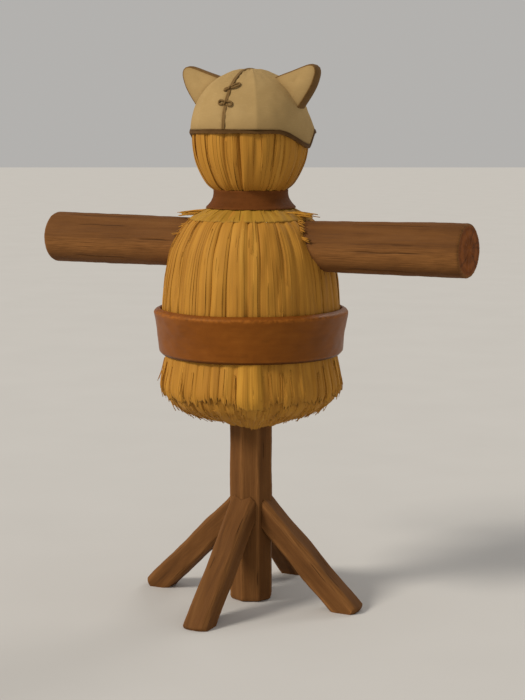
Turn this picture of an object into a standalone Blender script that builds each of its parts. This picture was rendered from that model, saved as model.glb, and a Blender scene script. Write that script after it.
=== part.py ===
"""Straw training dummy: an octagonal post on four braces carries one round log as its two arms.
Straw bundles are tied round the post, a leather belt and collar hold them, and a sewn cap lifts off.
Metres, +Z up. The origin is on the floor at the post's axis, X runs along the arms, the front is -Y."""

import math

import bmesh
import bpy
import numpy as np
from mathutils import Matrix, Vector

GAP = 0.0004            # between pieces that touch
NECK_TOP = 1.316        # where the body's straw ends inside the collar
AROUND = 32             # facets round each straw bundle and leather band

POST_FLATS = 0.134      # across the flats of the octagon
POST_CHAMFER = 0.008
SPIGOT_SIDE = 0.054     # reduced square top of the post, through the log and up into the head
SPIGOT_TOP = 1.580

ARM_Z = 1.171           # axis of the log
ARM_RADIUS = 0.0855
ARM_HALF = 0.740
ARM_CHAMFER = 0.010
SEAT_DEPTH = 0.020      # flat under the log where the post's shoulder bears
TRENAIL_RADIUS = 0.012

BRACE_WIDTH = 0.082
BRACE_DEPTH = 0.078
BRACE_CORNER = 0.009
# Name, direction in degrees, where its centre line meets the floor at 45 degrees, and its worn tip's reach.
BRACES = (("right", 0, 0.350, 0.398), ("back", 90, 0.350, 0.392), ("left", 180, 0.350, 0.386),
          ("front", 270, 0.362, 0.420))
PEG_RADIUS = 0.008
PEG_HALF = 0.042

HEAD_CENTRE = 1.530     # centre of the dome of straw and of the cap
CAP_RADIUS = 0.190
CAP_THICK = 0.006
HEAD_RADIUS = CAP_RADIUS - CAP_THICK - 0.003
HEM_Z = 1.531           # lower edge of the canvas, above its binding
HEM_TALL = 0.014
FLAP_DROP = 0.046       # how far the hem dips at each side flap
FLAP_ANGLE = math.radians(98)
FLAP_HALF = math.radians(50)
FLAP_BACK_HALF = math.radians(28)
CAP_LIFT_FLARE = 0.004

SEAM_WIDE = 0.0125       # the strip over the middle seam, at the hem
SEAM_THICK = 0.0026
STITCH_LIFT = 0.0070    # a cross stitch's centre line over the canvas

EAR_THICK = 0.054
GUSSET_THICK = 0.0035

RUFF_ROOM = 0.009

BELT_TOP = 0.967
TAB_THICK = 0.004
TAB_GAP = 0.0015         # the flat-sided tab clears the flat-sided band under it
RIVET_RADIUS = 0.003
RIVET_HEAD = 0.0070

# (height, radius) of the straw, the leather and the wad inside, each from the bottom up
TORSO_LINE = ((0.900, 0.2800), (0.955, 0.2880), (0.973, 0.2895), (1.043, 0.2832), (1.0815, 0.2773),
              (1.1455, 0.2620), (1.191, 0.2410), (1.236, 0.2120), (1.266, 0.1700), (1.284, 0.1340),
              (1.300, 0.1050))
SKIRT_LINE = ((0.667, 0.2680), (0.686, 0.2850), (0.705, 0.2930), (0.722, 0.2950), (0.739, 0.2935),
              (0.776, 0.2865), (0.814, 0.2785), (0.860, 0.2770), (0.896, 0.2785))
CORE_LINE = ((0.660, 0.2500), (0.800, 0.2520), (0.950, 0.2560), (1.040, 0.2520), (1.120, 0.2320),
             (1.190, 0.1950), (1.236, 0.1600), (1.266, 0.1200), (1.290, 0.0850), (NECK_TOP, 0.0800))
HEAD_LINE = ((1.3175, 0.1020), (1.334, 0.1030), (1.3485, 0.1190), (1.365, 0.1390), (1.399, 0.1580),
             (1.438, 0.1740), (1.476, 0.1810), (1.518, 0.1825))
COLLAR_LINE = ((1.284, 0.1449), (1.2936, 0.1366), (1.305, 0.1275), (1.3165, 0.1215), (1.330, 0.1190),
               (1.342, 0.1192))
BELT_LINE = ((0.8165, 0.2860), (0.8220, 0.2930), (0.8327, 0.2965), (0.8950, 0.3044), (0.9480, 0.3120),
             (0.9570, 0.3110))

COLOURS = {
    "wood": (0.20, 0.10, 0.045), "log": (0.17, 0.085, 0.04), "peg": (0.35, 0.22, 0.11),
    "straw": (0.55, 0.36, 0.10), "wad": (0.42, 0.28, 0.09), "twine": (0.30, 0.22, 0.12),
    "leather": (0.17, 0.065, 0.022), "collar": (0.12, 0.045, 0.02), "canvas": (0.50, 0.39, 0.24),
    "binding": (0.13, 0.075, 0.04), "rivet": (0.10, 0.07, 0.05),
}
METALLIC = {"rivet": 0.8}


def clear_scene():
    for obj in list(bpy.data.objects):
        bpy.data.objects.remove(obj, do_unlink=True)


def material(name, look):
    made = bpy.data.materials.new(name)
    made.use_nodes = True
    shader = made.node_tree.nodes["Principled BSDF"]
    shader.inputs["Base Color"].default_value = (*COLOURS[look], 1)
    shader.inputs["Roughness"].default_value = 0.8
    shader.inputs["Metallic"].default_value = METALLIC.get(look, 0)
    return made


def keep(name, bm, look, smooth=True):
    """A bmesh as a named object, its faces turned outwards."""
    bmesh.ops.recalc_face_normals(bm, faces=bm.faces)
    mesh = bpy.data.meshes.new(name)
    bm.to_mesh(mesh)
    bm.free()
    if smooth:
        mesh.shade_smooth()
        mesh.set_sharp_from_angle(angle=math.radians(35))
    obj = bpy.data.objects.new(name, mesh)
    bpy.context.scene.collection.objects.link(obj)
    if look:
        mesh.materials.append(material(name, look))
    return obj


def cutter(name, bm):
    obj = keep(name, bm, None, smooth=False)
    obj.hide_render = True
    obj.display_type = "WIRE"
    return obj


def boolean(obj, other, operation="DIFFERENCE"):
    made = obj.modifiers.new(other.name, "BOOLEAN")
    made.operation = operation
    made.object = other


def smooth_line(points, steps):
    """A smooth curve through (height, radius) points, as steps points evenly spread along it."""
    points = np.array(points, float)
    ends = np.vstack((2 * points[0] - points[1], points, 2 * points[-1] - points[-2]))
    out = []
    for i in range(1, len(ends) - 2):
        a, b, c, d = ends[i - 1:i + 3]
        for t in np.linspace(0, 1, 12, endpoint=False):
            out.append(0.5 * (2 * b + (c - a) * t + (2 * a - 5 * b + 4 * c - d) * t * t
                              + (3 * b - a - 3 * c + d) * t ** 3))
    out = np.vstack((out, points[-1:]))
    along = np.r_[0, np.cumsum(np.linalg.norm(np.diff(out, axis=0), axis=1))]
    want = np.linspace(0, along[-1], steps)
    return np.stack((np.interp(want, along, out[:, 0]), np.interp(want, along, out[:, 1])), axis=1)


def radius_at(line, height):
    return float(np.interp(height, [z for z, _ in line], [r for _, r in line]))


def turned(loop, around=AROUND, start=0.0, stop=2 * math.pi):
    """A closed (height, radius) loop swept about the post's axis, as a full ring or a part of one."""
    bm = bmesh.new()
    full = stop - start > 2 * math.pi - 1e-6
    count = around if full else max(3, round(around * (stop - start) / (2 * math.pi))) + 1
    rows = []
    for i in range(count):
        angle = start + (stop - start) * i / (around if full else count - 1)
        rows.append([bm.verts.new((r * math.sin(angle), -r * math.cos(angle), z)) for z, r in loop])
    n = len(loop)
    for i in range(count if full else count - 1):
        one, two = rows[i], rows[(i + 1) % count]
        for j in range(n):
            bm.faces.new((one[j], one[(j + 1) % n], two[(j + 1) % n], two[j]))
    if not full:
        bm.faces.new(rows[0])
        bm.faces.new(rows[-1])
    return bm


def domed(line_out, line_in=None, around=AROUND):
    """A dome about the axis from (height, radius) lines whose last radius is 0. With an inner line it
    is a shell, open below."""
    bm = bmesh.new()

    def skin(line):
        rows = []
        for z, r in line[:-1]:
            ring = [bm.verts.new((r * math.sin(a), -r * math.cos(a), z))
                    for a in np.linspace(0, 2 * math.pi, around, endpoint=False)]
            rows.append(ring)
        top = bm.verts.new((0, 0, line[-1][0]))
        for low, high in zip(rows, rows[1:]):
            for i in range(around):
                bm.faces.new((low[i], low[(i + 1) % around], high[(i + 1) % around], high[i]))
        for i in range(around):
            bm.faces.new((rows[-1][i], rows[-1][(i + 1) % around], top))
        return rows[0]

    rim = skin(line_out)
    if line_in is None:
        bm.faces.new(rim)
        return bm
    inner = skin(line_in)
    for i in range(around):
        bm.faces.new((rim[i], rim[(i + 1) % around], inner[(i + 1) % around], inner[i]))
    return bm


def arc_over(radius, low, steps):
    """(height, radius) points of a sphere about the head's centre, from a height up to its top."""
    first = math.asin((low - HEAD_CENTRE) / radius)
    return [(HEAD_CENTRE + radius * math.sin(a), radius * math.cos(a))
            for a in np.linspace(first, math.pi / 2, steps)][:-1] + [(HEAD_CENTRE + radius, 0)]


def prism(outline, low, high):
    """A straight prism: (x, y) outline between two heights."""
    bm = bmesh.new()
    bottom = [bm.verts.new((x, y, low)) for x, y in outline]
    top = [bm.verts.new((x, y, high)) for x, y in outline]
    bm.faces.new(bottom)
    bm.faces.new(top)
    for i in range(len(outline)):
        j = (i + 1) % len(outline)
        bm.faces.new((bottom[i], bottom[j], top[j], top[i]))
    return bm


def octagon(flats, grow=0.0):
    """Corners on the X and Y axes, as the braces bear on the post's corners."""
    corner = (flats / 2 + grow) / math.cos(math.pi / 8)
    return [(corner * math.cos(i * math.pi / 4), corner * math.sin(i * math.pi / 4)) for i in range(8)]


def square(side):
    h = side / 2
    return [(-h, -h), (h, -h), (h, h), (-h, h)]


def rod(radius, half, place, sides=16, chamfer=0.0):
    """A round bar along its own Z, centred, put at a place matrix."""
    bm = bmesh.new()
    rings = []
    ends = [(-half, radius - chamfer), (-half + chamfer, radius), (half - chamfer, radius),
            (half, radius - chamfer)] if chamfer else [(-half, radius), (half, radius)]
    for z, r in ends:
        rings.append([bm.verts.new((r * math.cos(a), r * math.sin(a), z))
                      for a in np.linspace(0, 2 * math.pi, sides, endpoint=False)])
    bm.faces.new(rings[0])
    bm.faces.new(rings[-1])
    for low, high in zip(rings, rings[1:]):
        for i in range(sides):
            bm.faces.new((low[i], low[(i + 1) % sides], high[(i + 1) % sides], high[i]))
    bm.transform(place)
    return bm


def torus(major, minor, height, around=AROUND, sides=5):
    loop = [(height + minor * math.sin(a), major + minor * math.cos(a))
            for a in np.linspace(0, 2 * math.pi, sides, endpoint=False)]
    return turned(loop, around)


def lying_x(x=0.0, y=0.0, z=0.0):
    return Matrix.Translation((x, y, z)) @ Matrix.Rotation(math.pi / 2, 4, "Y")


def lying_y(x=0.0, y=0.0, z=0.0):
    return Matrix.Translation((x, y, z)) @ Matrix.Rotation(math.pi / 2, 4, "X")


def brace_frame(turn):
    """Local X out from the post along the floor, Y across, Z up, turned about the post."""
    return Matrix.Rotation(turn, 4, "Z")


def peg_place(turn, foot):
    """The peg lies along the brace, centred where the brace meets the post's corner."""
    corner = POST_FLATS / 2 / math.cos(math.pi / 8)
    middle = Vector((corner + 0.0045, 0, foot - corner - 0.0045))
    return brace_frame(turn) @ Matrix.Translation(middle) @ Matrix.Rotation(math.radians(135), 4, "Y")


def make_post():
    shoulder = ARM_Z - ARM_RADIUS + SEAT_DEPTH - GAP
    flats, corner = POST_FLATS, octagon(POST_FLATS)
    bm = bmesh.new()
    foot = [bm.verts.new((x, y, 0)) for x, y in octagon(flats, -POST_CHAMFER)]
    low = [bm.verts.new((x, y, POST_CHAMFER)) for x, y in corner]
    high = [bm.verts.new((x, y, shoulder)) for x, y in corner]
    bm.faces.new(foot)
    bm.faces.new(high)
    for one, two in ((foot, low), (low, high)):
        for i in range(8):
            bm.faces.new((one[i], one[(i + 1) % 8], two[(i + 1) % 8], two[i]))
    post = keep("post", bm, "wood", smooth=False)
    boolean(post, cutter("spigot_shape", prism(square(SPIGOT_SIDE), shoulder - 0.02, SPIGOT_TOP)), "UNION")
    boolean(post, cutter("trenail_hole", rod(TRENAIL_RADIUS + GAP, 0.2, lying_y(z=ARM_Z))))
    return post


def make_crossbar():
    log = keep("crossbar", rod(ARM_RADIUS, ARM_HALF, lying_x(z=ARM_Z), 32, ARM_CHAMFER), "log")
    boolean(log, cutter("mortise", prism(square(SPIGOT_SIDE + 2 * GAP), ARM_Z - 0.2, ARM_Z + 0.2)))
    seat = square(POST_FLATS * 1.16)
    floor = ARM_Z - ARM_RADIUS + SEAT_DEPTH
    boolean(log, cutter("seat", prism(seat, floor - 0.1, floor)))
    boolean(log, cutter("log_trenail_hole", rod(TRENAIL_RADIUS + GAP, 0.2, lying_y(z=ARM_Z))))
    keep("crossbar_trenail", rod(TRENAIL_RADIUS, ARM_RADIUS - 0.002, lying_y(z=ARM_Z), 16, 0.002), "peg")


def brace_section():
    """The hewn section, its four corners taken off: (across, up)."""
    w, d, c = BRACE_WIDTH / 2, BRACE_DEPTH / 2, BRACE_CORNER
    return [(-w + c, -d), (w - c, -d), (w, -d + c), (w, d - c), (w - c, d), (-w + c, d), (-w, d - c),
            (-w, -d + c)]


def worn_tip(turn, tip):
    """What is worn off the sharp end of a foot that then ends at tip."""
    side = [(tip - 0.035, -0.020), (tip, 0.026), (tip, 0.200), (0.600, 0.200),
            (0.600, -0.020)]
    bm = slab([Vector(p) for p in side], BRACE_WIDTH)
    bm.transform(brace_frame(turn))
    return bm


def make_brace(name, turn, foot, tip, post_shape, floor_cut):
    bm = bmesh.new()
    reach = foot * math.sqrt(2)
    rings = []
    for along in (0.02, reach + 0.06):
        # A slope of 45 degrees: out and down along the bar, up and out across its depth.
        base = Vector((along / math.sqrt(2), 0, foot - along / math.sqrt(2)))
        rings.append([bm.verts.new(base + Vector((u / math.sqrt(2), a, u / math.sqrt(2))))
                      for a, u in brace_section()])
    bm.faces.new(rings[0])
    bm.faces.new(rings[1])
    for i in range(8):
        bm.faces.new((rings[0][i], rings[0][(i + 1) % 8], rings[1][(i + 1) % 8], rings[1][i]))
    bm.transform(brace_frame(turn))
    brace = keep(f"brace_{name}", bm, "wood", smooth=False)
    boolean(brace, post_shape)
    boolean(brace, floor_cut)
    boolean(brace, cutter(f"tip_{name}", worn_tip(turn, tip)))
    peg = peg_place(turn, foot)
    boolean(brace, cutter(f"peg_hole_{name}", rod(PEG_RADIUS + GAP, PEG_HALF + GAP, peg, 12)))
    keep(f"brace_peg_{name}", rod(PEG_RADIUS, PEG_HALF, peg, 12, 0.001), "peg")


def make_braces(post):
    post_shape = cutter("post_shape", prism(octagon(POST_FLATS, GAP), -0.1, 0.6))
    floor_cut = cutter("floor", prism(square(2), -0.5, 0))
    for name, turn, foot, tip in BRACES:
        make_brace(name, math.radians(turn), foot, tip, post_shape, floor_cut)
        hole = rod(PEG_RADIUS + GAP, PEG_HALF + GAP, peg_place(math.radians(turn), foot), 12)
        boolean(post, cutter(f"post_peg_hole_{name}", hole))


def make_skirt():
    """The outer layer of straw that hangs below the belt."""
    outside = [tuple(p) for p in smooth_line(SKIRT_LINE, 7)]
    inner = max(r for _, r in CORE_LINE) + 4 * GAP
    keep("straw_skirt", turned(outside + [(outside[-1][0], inner), (outside[0][0], inner)]), "straw")


def make_straw_body():
    core = [tuple(p) for p in smooth_line(CORE_LINE, 9)]
    bowl = [(0.576, 0.080), (0.581, 0.110), (0.600, 0.165), (0.627, 0.218)]
    core_loop = bowl + core + [(core[-1][0], 0.045), (bowl[0][0], 0.045)]
    wad = keep("straw_core", turned(core_loop), "wad")
    low = TORSO_LINE[0][0]
    outside = [tuple(p) for p in smooth_line(shoulder_line(), 14)] + [(NECK_TOP, 0.1040)]
    over_core = [(z, r + 4 * GAP) for z, r in core if z > low]
    inside = over_core[::-1] + [(low, radius_at(core, low) + 4 * GAP)]
    torso = keep("straw_torso", turned(outside + inside), "straw")
    post_cut = cutter("post_in_straw", prism(octagon(POST_FLATS, GAP), 0.3, ARM_Z))
    arm_cut = cutter("arms_in_straw", rod(ARM_RADIUS + 2 * GAP, 0.5, lying_x(z=ARM_Z), 32))
    boolean(wad, post_cut)
    for bundle in (wad, torso, make_ruff(outside)):
        boolean(bundle, arm_cut)
    make_skirt()


def shoulder_line():
    """The torso bundle's outline, let in over the shoulders by the ruff that lies on it."""
    return [(z, r - RUFF_ROOM if 1.25 < z < 1.29 else r) for z, r in TORSO_LINE]


def make_ruff(torso_line):
    """A short layer of straw over the shoulders, from under the collar out to a loose edge."""
    low, high = 1.250, 1.297
    under = [(low, radius_at(torso_line, low))] + [(z, r) for z, r in torso_line if low < z < high]
    inside = [(z, r + 2 * GAP) for z, r in under]
    outside = [(z, r + RUFF_ROOM - 0.0015) for z, r in under]
    return keep("straw_ruff", turned(inside + outside[::-1]), "straw")


def make_head():
    outer = [tuple(p) for p in smooth_line(HEAD_LINE, 8)] + arc_over(HEAD_RADIUS, 1.545, 6)
    wad_radius = 0.150
    inner = [(1.318, 0.080), (1.345, 0.086), (1.372, 0.104), (1.41, 0.126), (1.46, 0.143)]
    inner = inner + arc_over(wad_radius + GAP * 3, 1.520, 5)
    keep("straw_head", domed(outer, inner), "straw")
    wad = [(1.345, 0.080), (1.372, 0.098), (1.41, 0.120), (1.46, 0.138)]
    wad += arc_over(wad_radius - 0.004, 1.520, 5)
    head_core = keep("head_core", domed(wad), "wad")
    boolean(head_core, cutter("spigot_in_head", prism(square(SPIGOT_SIDE + 2 * GAP), 1.2, SPIGOT_TOP + GAP)))


def make_ties():
    keep("neck_tie_upper", torus(0.1085, 0.0035, 1.3225), "twine")
    keep("neck_tie_lower", torus(0.1090, 0.0035, 1.3100), "twine")
    keep("skirt_tie", torus(0.2812, 0.0022, 0.880), "twine")


def band_loop(line, thick, top, steps):
    outside = [tuple(p) for p in smooth_line(line, steps)]
    inside = [(z, r - thick(z)) for z, r in outside[::-1]]
    return outside + top + inside


def rivet(name, angle, height, face, inside):
    """A rivet through a band at the back: a domed head outside, its shank ending inside."""
    length = face - inside
    bm = bmesh.new()
    line = [(0, RIVET_RADIUS), (length + 0.0004, RIVET_RADIUS), (length + 0.0004, RIVET_HEAD),
            (length + 0.0022, RIVET_HEAD * 0.85), (length + 0.0036, RIVET_HEAD * 0.45)]
    rings = [[bm.verts.new((r * math.cos(a), r * math.sin(a), z))
              for a in np.linspace(0, 2 * math.pi, 16, endpoint=False)] for z, r in line]
    bm.faces.new(rings[0])
    bm.faces.new(rings[-1])
    for low, high in zip(rings, rings[1:]):
        for i in range(16):
            bm.faces.new((low[i], low[(i + 1) % 16], high[(i + 1) % 16], high[i]))
    out = Vector((math.sin(angle), -math.cos(angle), 0))
    place = Matrix.Translation(out * inside + Vector((0, 0, height)))
    place = place @ out.to_track_quat("Z", "Y").to_matrix().to_4x4()
    bm.transform(place)
    hole = rod(RIVET_RADIUS + GAP, 0.05, Matrix.Translation(out * face + Vector((0, 0, height)))
               @ out.to_track_quat("Z", "Y").to_matrix().to_4x4(), 16)
    return keep(name, bm, "rivet"), cutter(f"hole_{name}", hole)


def make_band(name, look, loop, line, half_tab, heights, spread, depth):
    """A leather band whose two ends butt at the back under a riveted tab."""
    slit = 0.0015 / line[0][1]
    band = keep(name, turned(loop, AROUND, -math.pi + slit, math.pi - slit), look)
    mid = [(z, r) for z, r in smooth_line(line, 7) if heights[0] - 0.016 < z < heights[-1] + 0.016]
    tab_loop = [(z, r + TAB_GAP) for z, r in mid] + [(z, r + TAB_GAP + TAB_THICK) for z, r in mid[::-1]]
    tab = keep(f"{name}_tab", turned(tab_loop, AROUND, math.pi - half_tab, math.pi + half_tab), look)
    count = 1
    for side in (-1, 1):
        for height in heights:
            angle = math.pi + side * spread
            proud = max(radius_at(line, height + off) for off in (-RIVET_HEAD, 0, RIVET_HEAD))
            face = proud + TAB_GAP + TAB_THICK + GAP
            _, hole = rivet(f"{name}_rivet_{count}", angle, height, face, face - depth)
            boolean(band, hole)
            boolean(tab, hole)
            count += 1


def make_leather():
    def belt_thick(z):
        return float(np.interp(z, (0.8165, 0.8327, 0.957), (0.0055, 0.0135, 0.0190)))

    belt_loop = band_loop(BELT_LINE, belt_thick, [(BELT_TOP, 0.2935)], 6)
    make_band("belt", "leather", belt_loop, BELT_LINE, math.radians(11), (0.860, 0.925),
              math.radians(6.5), 0.017)
    collar_loop = band_loop(COLLAR_LINE, lambda z: 0.0050, [], 5)
    make_band("neck_collar", "collar", collar_loop, COLLAR_LINE, math.radians(15), (1.3300,),
              math.radians(9), 0.0085)


def hem_dip(angle):
    """How far the hem hangs below its level part at an angle from the front."""
    beyond = abs(math.remainder(angle, 2 * math.pi)) - FLAP_ANGLE
    half = FLAP_BACK_HALF if beyond > 0 else FLAP_HALF
    return FLAP_DROP * 0.5 * (1 + math.cos(math.pi * beyond / half)) if abs(beyond) < half else 0.0


def hem_radius(height):
    """The cap's outer radius: the dome, and below its middle an almost straight, flaring skirt."""
    rise = height - HEAD_CENTRE
    if rise > 0.02:
        return math.sqrt(CAP_RADIUS ** 2 - rise ** 2)
    return CAP_RADIUS + CAP_LIFT_FLARE * min(1.0, (0.02 - rise) / 0.03) - 0.0006


def cap_rows(low, inward):
    """(radius, height) up one side of the cap, from the hem to just under the crown."""
    bend = HEAD_CENTRE + 0.02
    line = [(hem_radius(z) - inward, z) for z in (low, (low + bend) / 2)]
    for up in np.linspace(math.asin(0.02 / CAP_RADIUS), math.pi / 2, 9)[:-1]:
        r = CAP_RADIUS - inward
        line.append((r * math.cos(up), HEAD_CENTRE + r * math.sin(up)))
    return line


def cap_shell():
    bm = bmesh.new()
    rims = []
    for inward in (0.0, CAP_THICK):
        columns = []
        for i in range(AROUND):
            angle = 2 * math.pi * i / AROUND
            columns.append([bm.verts.new((r * math.sin(angle), -r * math.cos(angle), z))
                            for r, z in cap_rows(HEM_Z - hem_dip(angle), inward)])
        crown = bm.verts.new((0, 0, HEAD_CENTRE + CAP_RADIUS - inward))
        for i in range(AROUND):
            one, two = columns[i], columns[(i + 1) % AROUND]
            for k in range(len(one) - 1):
                bm.faces.new((one[k], two[k], two[k + 1], one[k + 1]))
            bm.faces.new((one[-1], two[-1], crown))
        rims.append([column[0] for column in columns])
    for i in range(AROUND):
        j = (i + 1) % AROUND
        bm.faces.new((rims[0][i], rims[0][j], rims[1][j], rims[1][i]))
    return bm


def make_cap():
    for name, side in (("cap_left", -1), ("cap_right", 1)):
        half = keep(name, cap_shell(), "canvas")
        box = [(0.0002 * side, -0.4), (0.4 * side, -0.4), (0.4 * side, 0.4), (0.0002 * side, 0.4)]
        boolean(half, cutter(f"{name}_side", prism(box, 1.3, 1.9)), "INTERSECT")
    make_binding()
    make_seam()


def make_binding():
    """A folded strip along the hem, following its dips."""
    bm = bmesh.new()
    rows = []
    for i in range(AROUND):
        angle = 2 * math.pi * i / AROUND
        low = HEM_Z - hem_dip(angle) - GAP
        ring = []
        for drop, inset in ((0, 0.0065), (0, -0.0006), (HEM_TALL * 0.5, -0.0016), (HEM_TALL, -0.0006),
                            (HEM_TALL, 0.0065)):
            z = low - drop
            r = hem_radius(z) - inset
            ring.append(bm.verts.new((r * math.sin(angle), -r * math.cos(angle), z)))
        rows.append(ring)
    for i in range(AROUND):
        one, two = rows[i], rows[(i + 1) % AROUND]
        for j in range(5):
            bm.faces.new((one[j], one[(j + 1) % 5], two[(j + 1) % 5], two[j]))
    keep("cap_binding", bm, "binding")


def cord(name, points, thick, look="binding"):
    """A round cord through points, with filled ends."""
    curve = bpy.data.curves.new(name, "CURVE")
    curve.dimensions = "3D"
    curve.bevel_depth = thick
    curve.bevel_resolution = 1
    curve.use_fill_caps = True
    line = curve.splines.new("POLY")
    line.points.add(len(points) - 1)
    for place, point in zip(line.points, points):
        place.co = (*point, 1)
    obj = bpy.data.objects.new(name, curve)
    bpy.context.scene.collection.objects.link(obj)
    curve.materials.append(material(name, look))
    return obj


def on_cap(across, up, lift):
    """A point over the cap's front: an angle across from the middle and an angle up the dome."""
    a, b, r = math.radians(across), math.radians(up), CAP_RADIUS + lift
    height = HEAD_CENTRE + r * math.sin(b)
    level = r * math.cos(b)
    if height < HEAD_CENTRE + 0.02 and level > 0:
        level = max(level, hem_radius(height) + lift)
    return (level * math.sin(a), -level * math.cos(a), height)


def make_seam():
    """A leather strip over the middle seam, front to back, and two cross stitches that hold it."""
    half = list(np.linspace(2.5, 90, 14))
    bm = bmesh.new()
    rows = []
    for up in half + [180 - up for up in half[-2::-1]]:
        facing = min(up, 180 - up)
        wide = SEAM_WIDE * (1 - 0.25 * facing / 90) / 2
        ring = []
        for side, lift in ((-1, 0), (-1, 1), (1, 1), (1, 0)):
            _, y, z = on_cap(0, facing, GAP * 3 + lift * SEAM_THICK)
            ring.append(bm.verts.new((side * wide, y if up <= 90 else -y, z)))
        rows.append(ring)
    bm.faces.new(rows[0])
    bm.faces.new(rows[-1])
    for one, two in zip(rows, rows[1:]):
        for j in range(4):
            bm.faces.new((one[j], one[(j + 1) % 4], two[(j + 1) % 4], two[j]))
    keep("cap_seam_strip", bm, "binding")
    for name, height, tilt in (("cap_stitch_lower", 25.0, 1.0), ("cap_stitch_upper", 41.0, -3.0)):
        line = [on_cap(a, height - tilt * a / 8, STITCH_LIFT - 0.003 * (a / 8) ** 2)
                for a in np.linspace(-8, 8, 9)]
        cord(name, line, 0.0022)


def ear_outline(grow=0.0):
    """(x, z) of the ear seen from the front, from its inner root over the rounded tip to its outer root."""
    tip = Vector((0.2150, 1.7125))
    top_root, outer_root = Vector((0.060, 1.676)), Vector((0.158, 1.570))
    top = (tip - top_root).normalized()
    side = (outer_root - tip).normalized()
    round_tip = 0.0155 + grow
    above, beside = Vector((-top.y, top.x)), Vector((-side.y, side.x))
    first, last = above.angle_signed(Vector((1, 0))), beside.angle_signed(Vector((1, 0)))
    points = [top_root + above * (0.004 + grow)]
    points += [tip + round_tip * Vector((math.cos(a), math.sin(a))) for a in np.linspace(first, last, 9)]
    points += [(tip + outer_root) / 2 + beside * (0.016 + grow), outer_root + beside * (0.009 + grow)]
    return points


def slab(points, half):
    """An (x, z) outline as a plate, half thick each way in Y."""
    bm = bmesh.new()
    front = [bm.verts.new((p.x, -half, p.y)) for p in points]
    back = [bm.verts.new((p.x, half, p.y)) for p in points]
    bm.faces.new(front)
    bm.faces.new(back)
    for i in range(len(points)):
        j = (i + 1) % len(points)
        bm.faces.new((front[i], front[j], back[j], back[i]))
    return bm


def make_ears():
    ball = bmesh.new()
    bmesh.ops.create_uvsphere(ball, u_segments=48, v_segments=24, radius=CAP_RADIUS + 2.2 * GAP)
    bmesh.ops.translate(ball, verts=ball.verts, vec=(0, 0, HEAD_CENTRE))
    dome = cutter("dome_in_ears", ball)
    inner = ear_outline(-GUSSET_THICK - GAP)
    outer = ear_outline()
    strip = outer + ear_outline(-GUSSET_THICK)[::-1]
    for name, turn in (("right", 0), ("left", math.pi)):
        for node, shape, look in ((f"ear_{name}", inner, "canvas"), (f"ear_{name}_gusset", strip, "binding")):
            bm = slab(shape, EAR_THICK / 2)
            bm.transform(Matrix.Rotation(turn, 4, "Z"))
            boolean(keep(node, bm, look), dome)


def main():
    clear_scene()
    post = make_post()
    make_crossbar()
    make_braces(post)
    make_straw_body()
    make_head()
    make_ties()
    make_leather()
    make_cap()
    make_ears()


main()
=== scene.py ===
"""Looks of the straw training dummy: hewn timber, tied straw, leather bands and a sewn, eared cap.
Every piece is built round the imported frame, in metres, +Z up, arms along X, front at -Y."""

import math

import bmesh
import bpy
import numpy as np
from mathutils import Matrix, Vector


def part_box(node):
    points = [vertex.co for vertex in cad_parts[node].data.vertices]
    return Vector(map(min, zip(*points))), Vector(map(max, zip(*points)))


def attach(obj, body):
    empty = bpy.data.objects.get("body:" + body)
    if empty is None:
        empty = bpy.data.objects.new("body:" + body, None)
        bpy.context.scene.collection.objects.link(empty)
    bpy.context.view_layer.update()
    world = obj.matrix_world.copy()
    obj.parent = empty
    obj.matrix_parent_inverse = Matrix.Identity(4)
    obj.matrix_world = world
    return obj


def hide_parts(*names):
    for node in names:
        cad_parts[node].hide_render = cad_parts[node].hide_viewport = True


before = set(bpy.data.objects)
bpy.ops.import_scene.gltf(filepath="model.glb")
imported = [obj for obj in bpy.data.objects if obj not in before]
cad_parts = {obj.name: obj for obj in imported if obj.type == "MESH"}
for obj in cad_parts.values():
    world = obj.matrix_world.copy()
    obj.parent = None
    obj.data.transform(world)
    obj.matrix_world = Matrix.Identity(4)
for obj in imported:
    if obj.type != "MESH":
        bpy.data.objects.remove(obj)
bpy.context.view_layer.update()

TURN = 2 * math.pi


def low(node):
    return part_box(node)[0]


def high(node):
    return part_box(node)[1]


# Places read from the frame
ARM_Z = (low("crossbar").z + high("crossbar").z) / 2
ARM_RADIUS = (high("crossbar").z - low("crossbar").z) / 2
ARM_HALF = high("crossbar").x
POST_CORNER = high("post").x
SHOULDER_Z = ARM_Z - ARM_RADIUS + 0.020
CAP_TOP = high("cap_left").z
CAP_RADIUS = 0.190
HEAD_CENTRE = CAP_TOP - CAP_RADIUS
BELT_HIGH = high("belt").z
COLLAR_LOW, COLLAR_HIGH = low("neck_collar").z, high("neck_collar").z
HEM_TALL = 0.014
FLAP_DROP = 0.046
FLAP_ANGLE = math.radians(98)
FLAP_HALF = math.radians(50)
FLAP_BACK_HALF = math.radians(16)
FLAP_LEFT_HALF = math.radians(34)
FLARE_FROM, FLARE_TO = math.radians(98), math.radians(120)
CANVAS_THICK = 0.0042
TONGUE_ANGLE, TONGUE_HALF = math.radians(31), 0.62


# ---------------------------------------------------------------- mesh helpers


def build_mesh(name, points, faces, smooth=True):
    """An object from (n, 3) points and lists of faces, quickly."""
    mesh = bpy.data.meshes.new(name)
    flat = np.concatenate([np.asarray(f, np.int32).ravel() for f in faces])
    sizes = np.concatenate([np.full(len(f), np.asarray(f).shape[1], np.int32) for f in faces])
    mesh.vertices.add(len(points))
    mesh.vertices.foreach_set("co", np.asarray(points, np.float32).ravel())
    mesh.loops.add(len(flat))
    mesh.loops.foreach_set("vertex_index", flat)
    mesh.polygons.add(len(sizes))
    mesh.polygons.foreach_set("loop_start", np.concatenate([[0], np.cumsum(sizes)[:-1]]).astype(np.int32))
    mesh.update(calc_edges=True)
    mesh.validate()
    obj = bpy.data.objects.new(name, mesh)
    bpy.context.scene.collection.objects.link(obj)
    if smooth:
        mesh.shade_smooth()
    return obj


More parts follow.
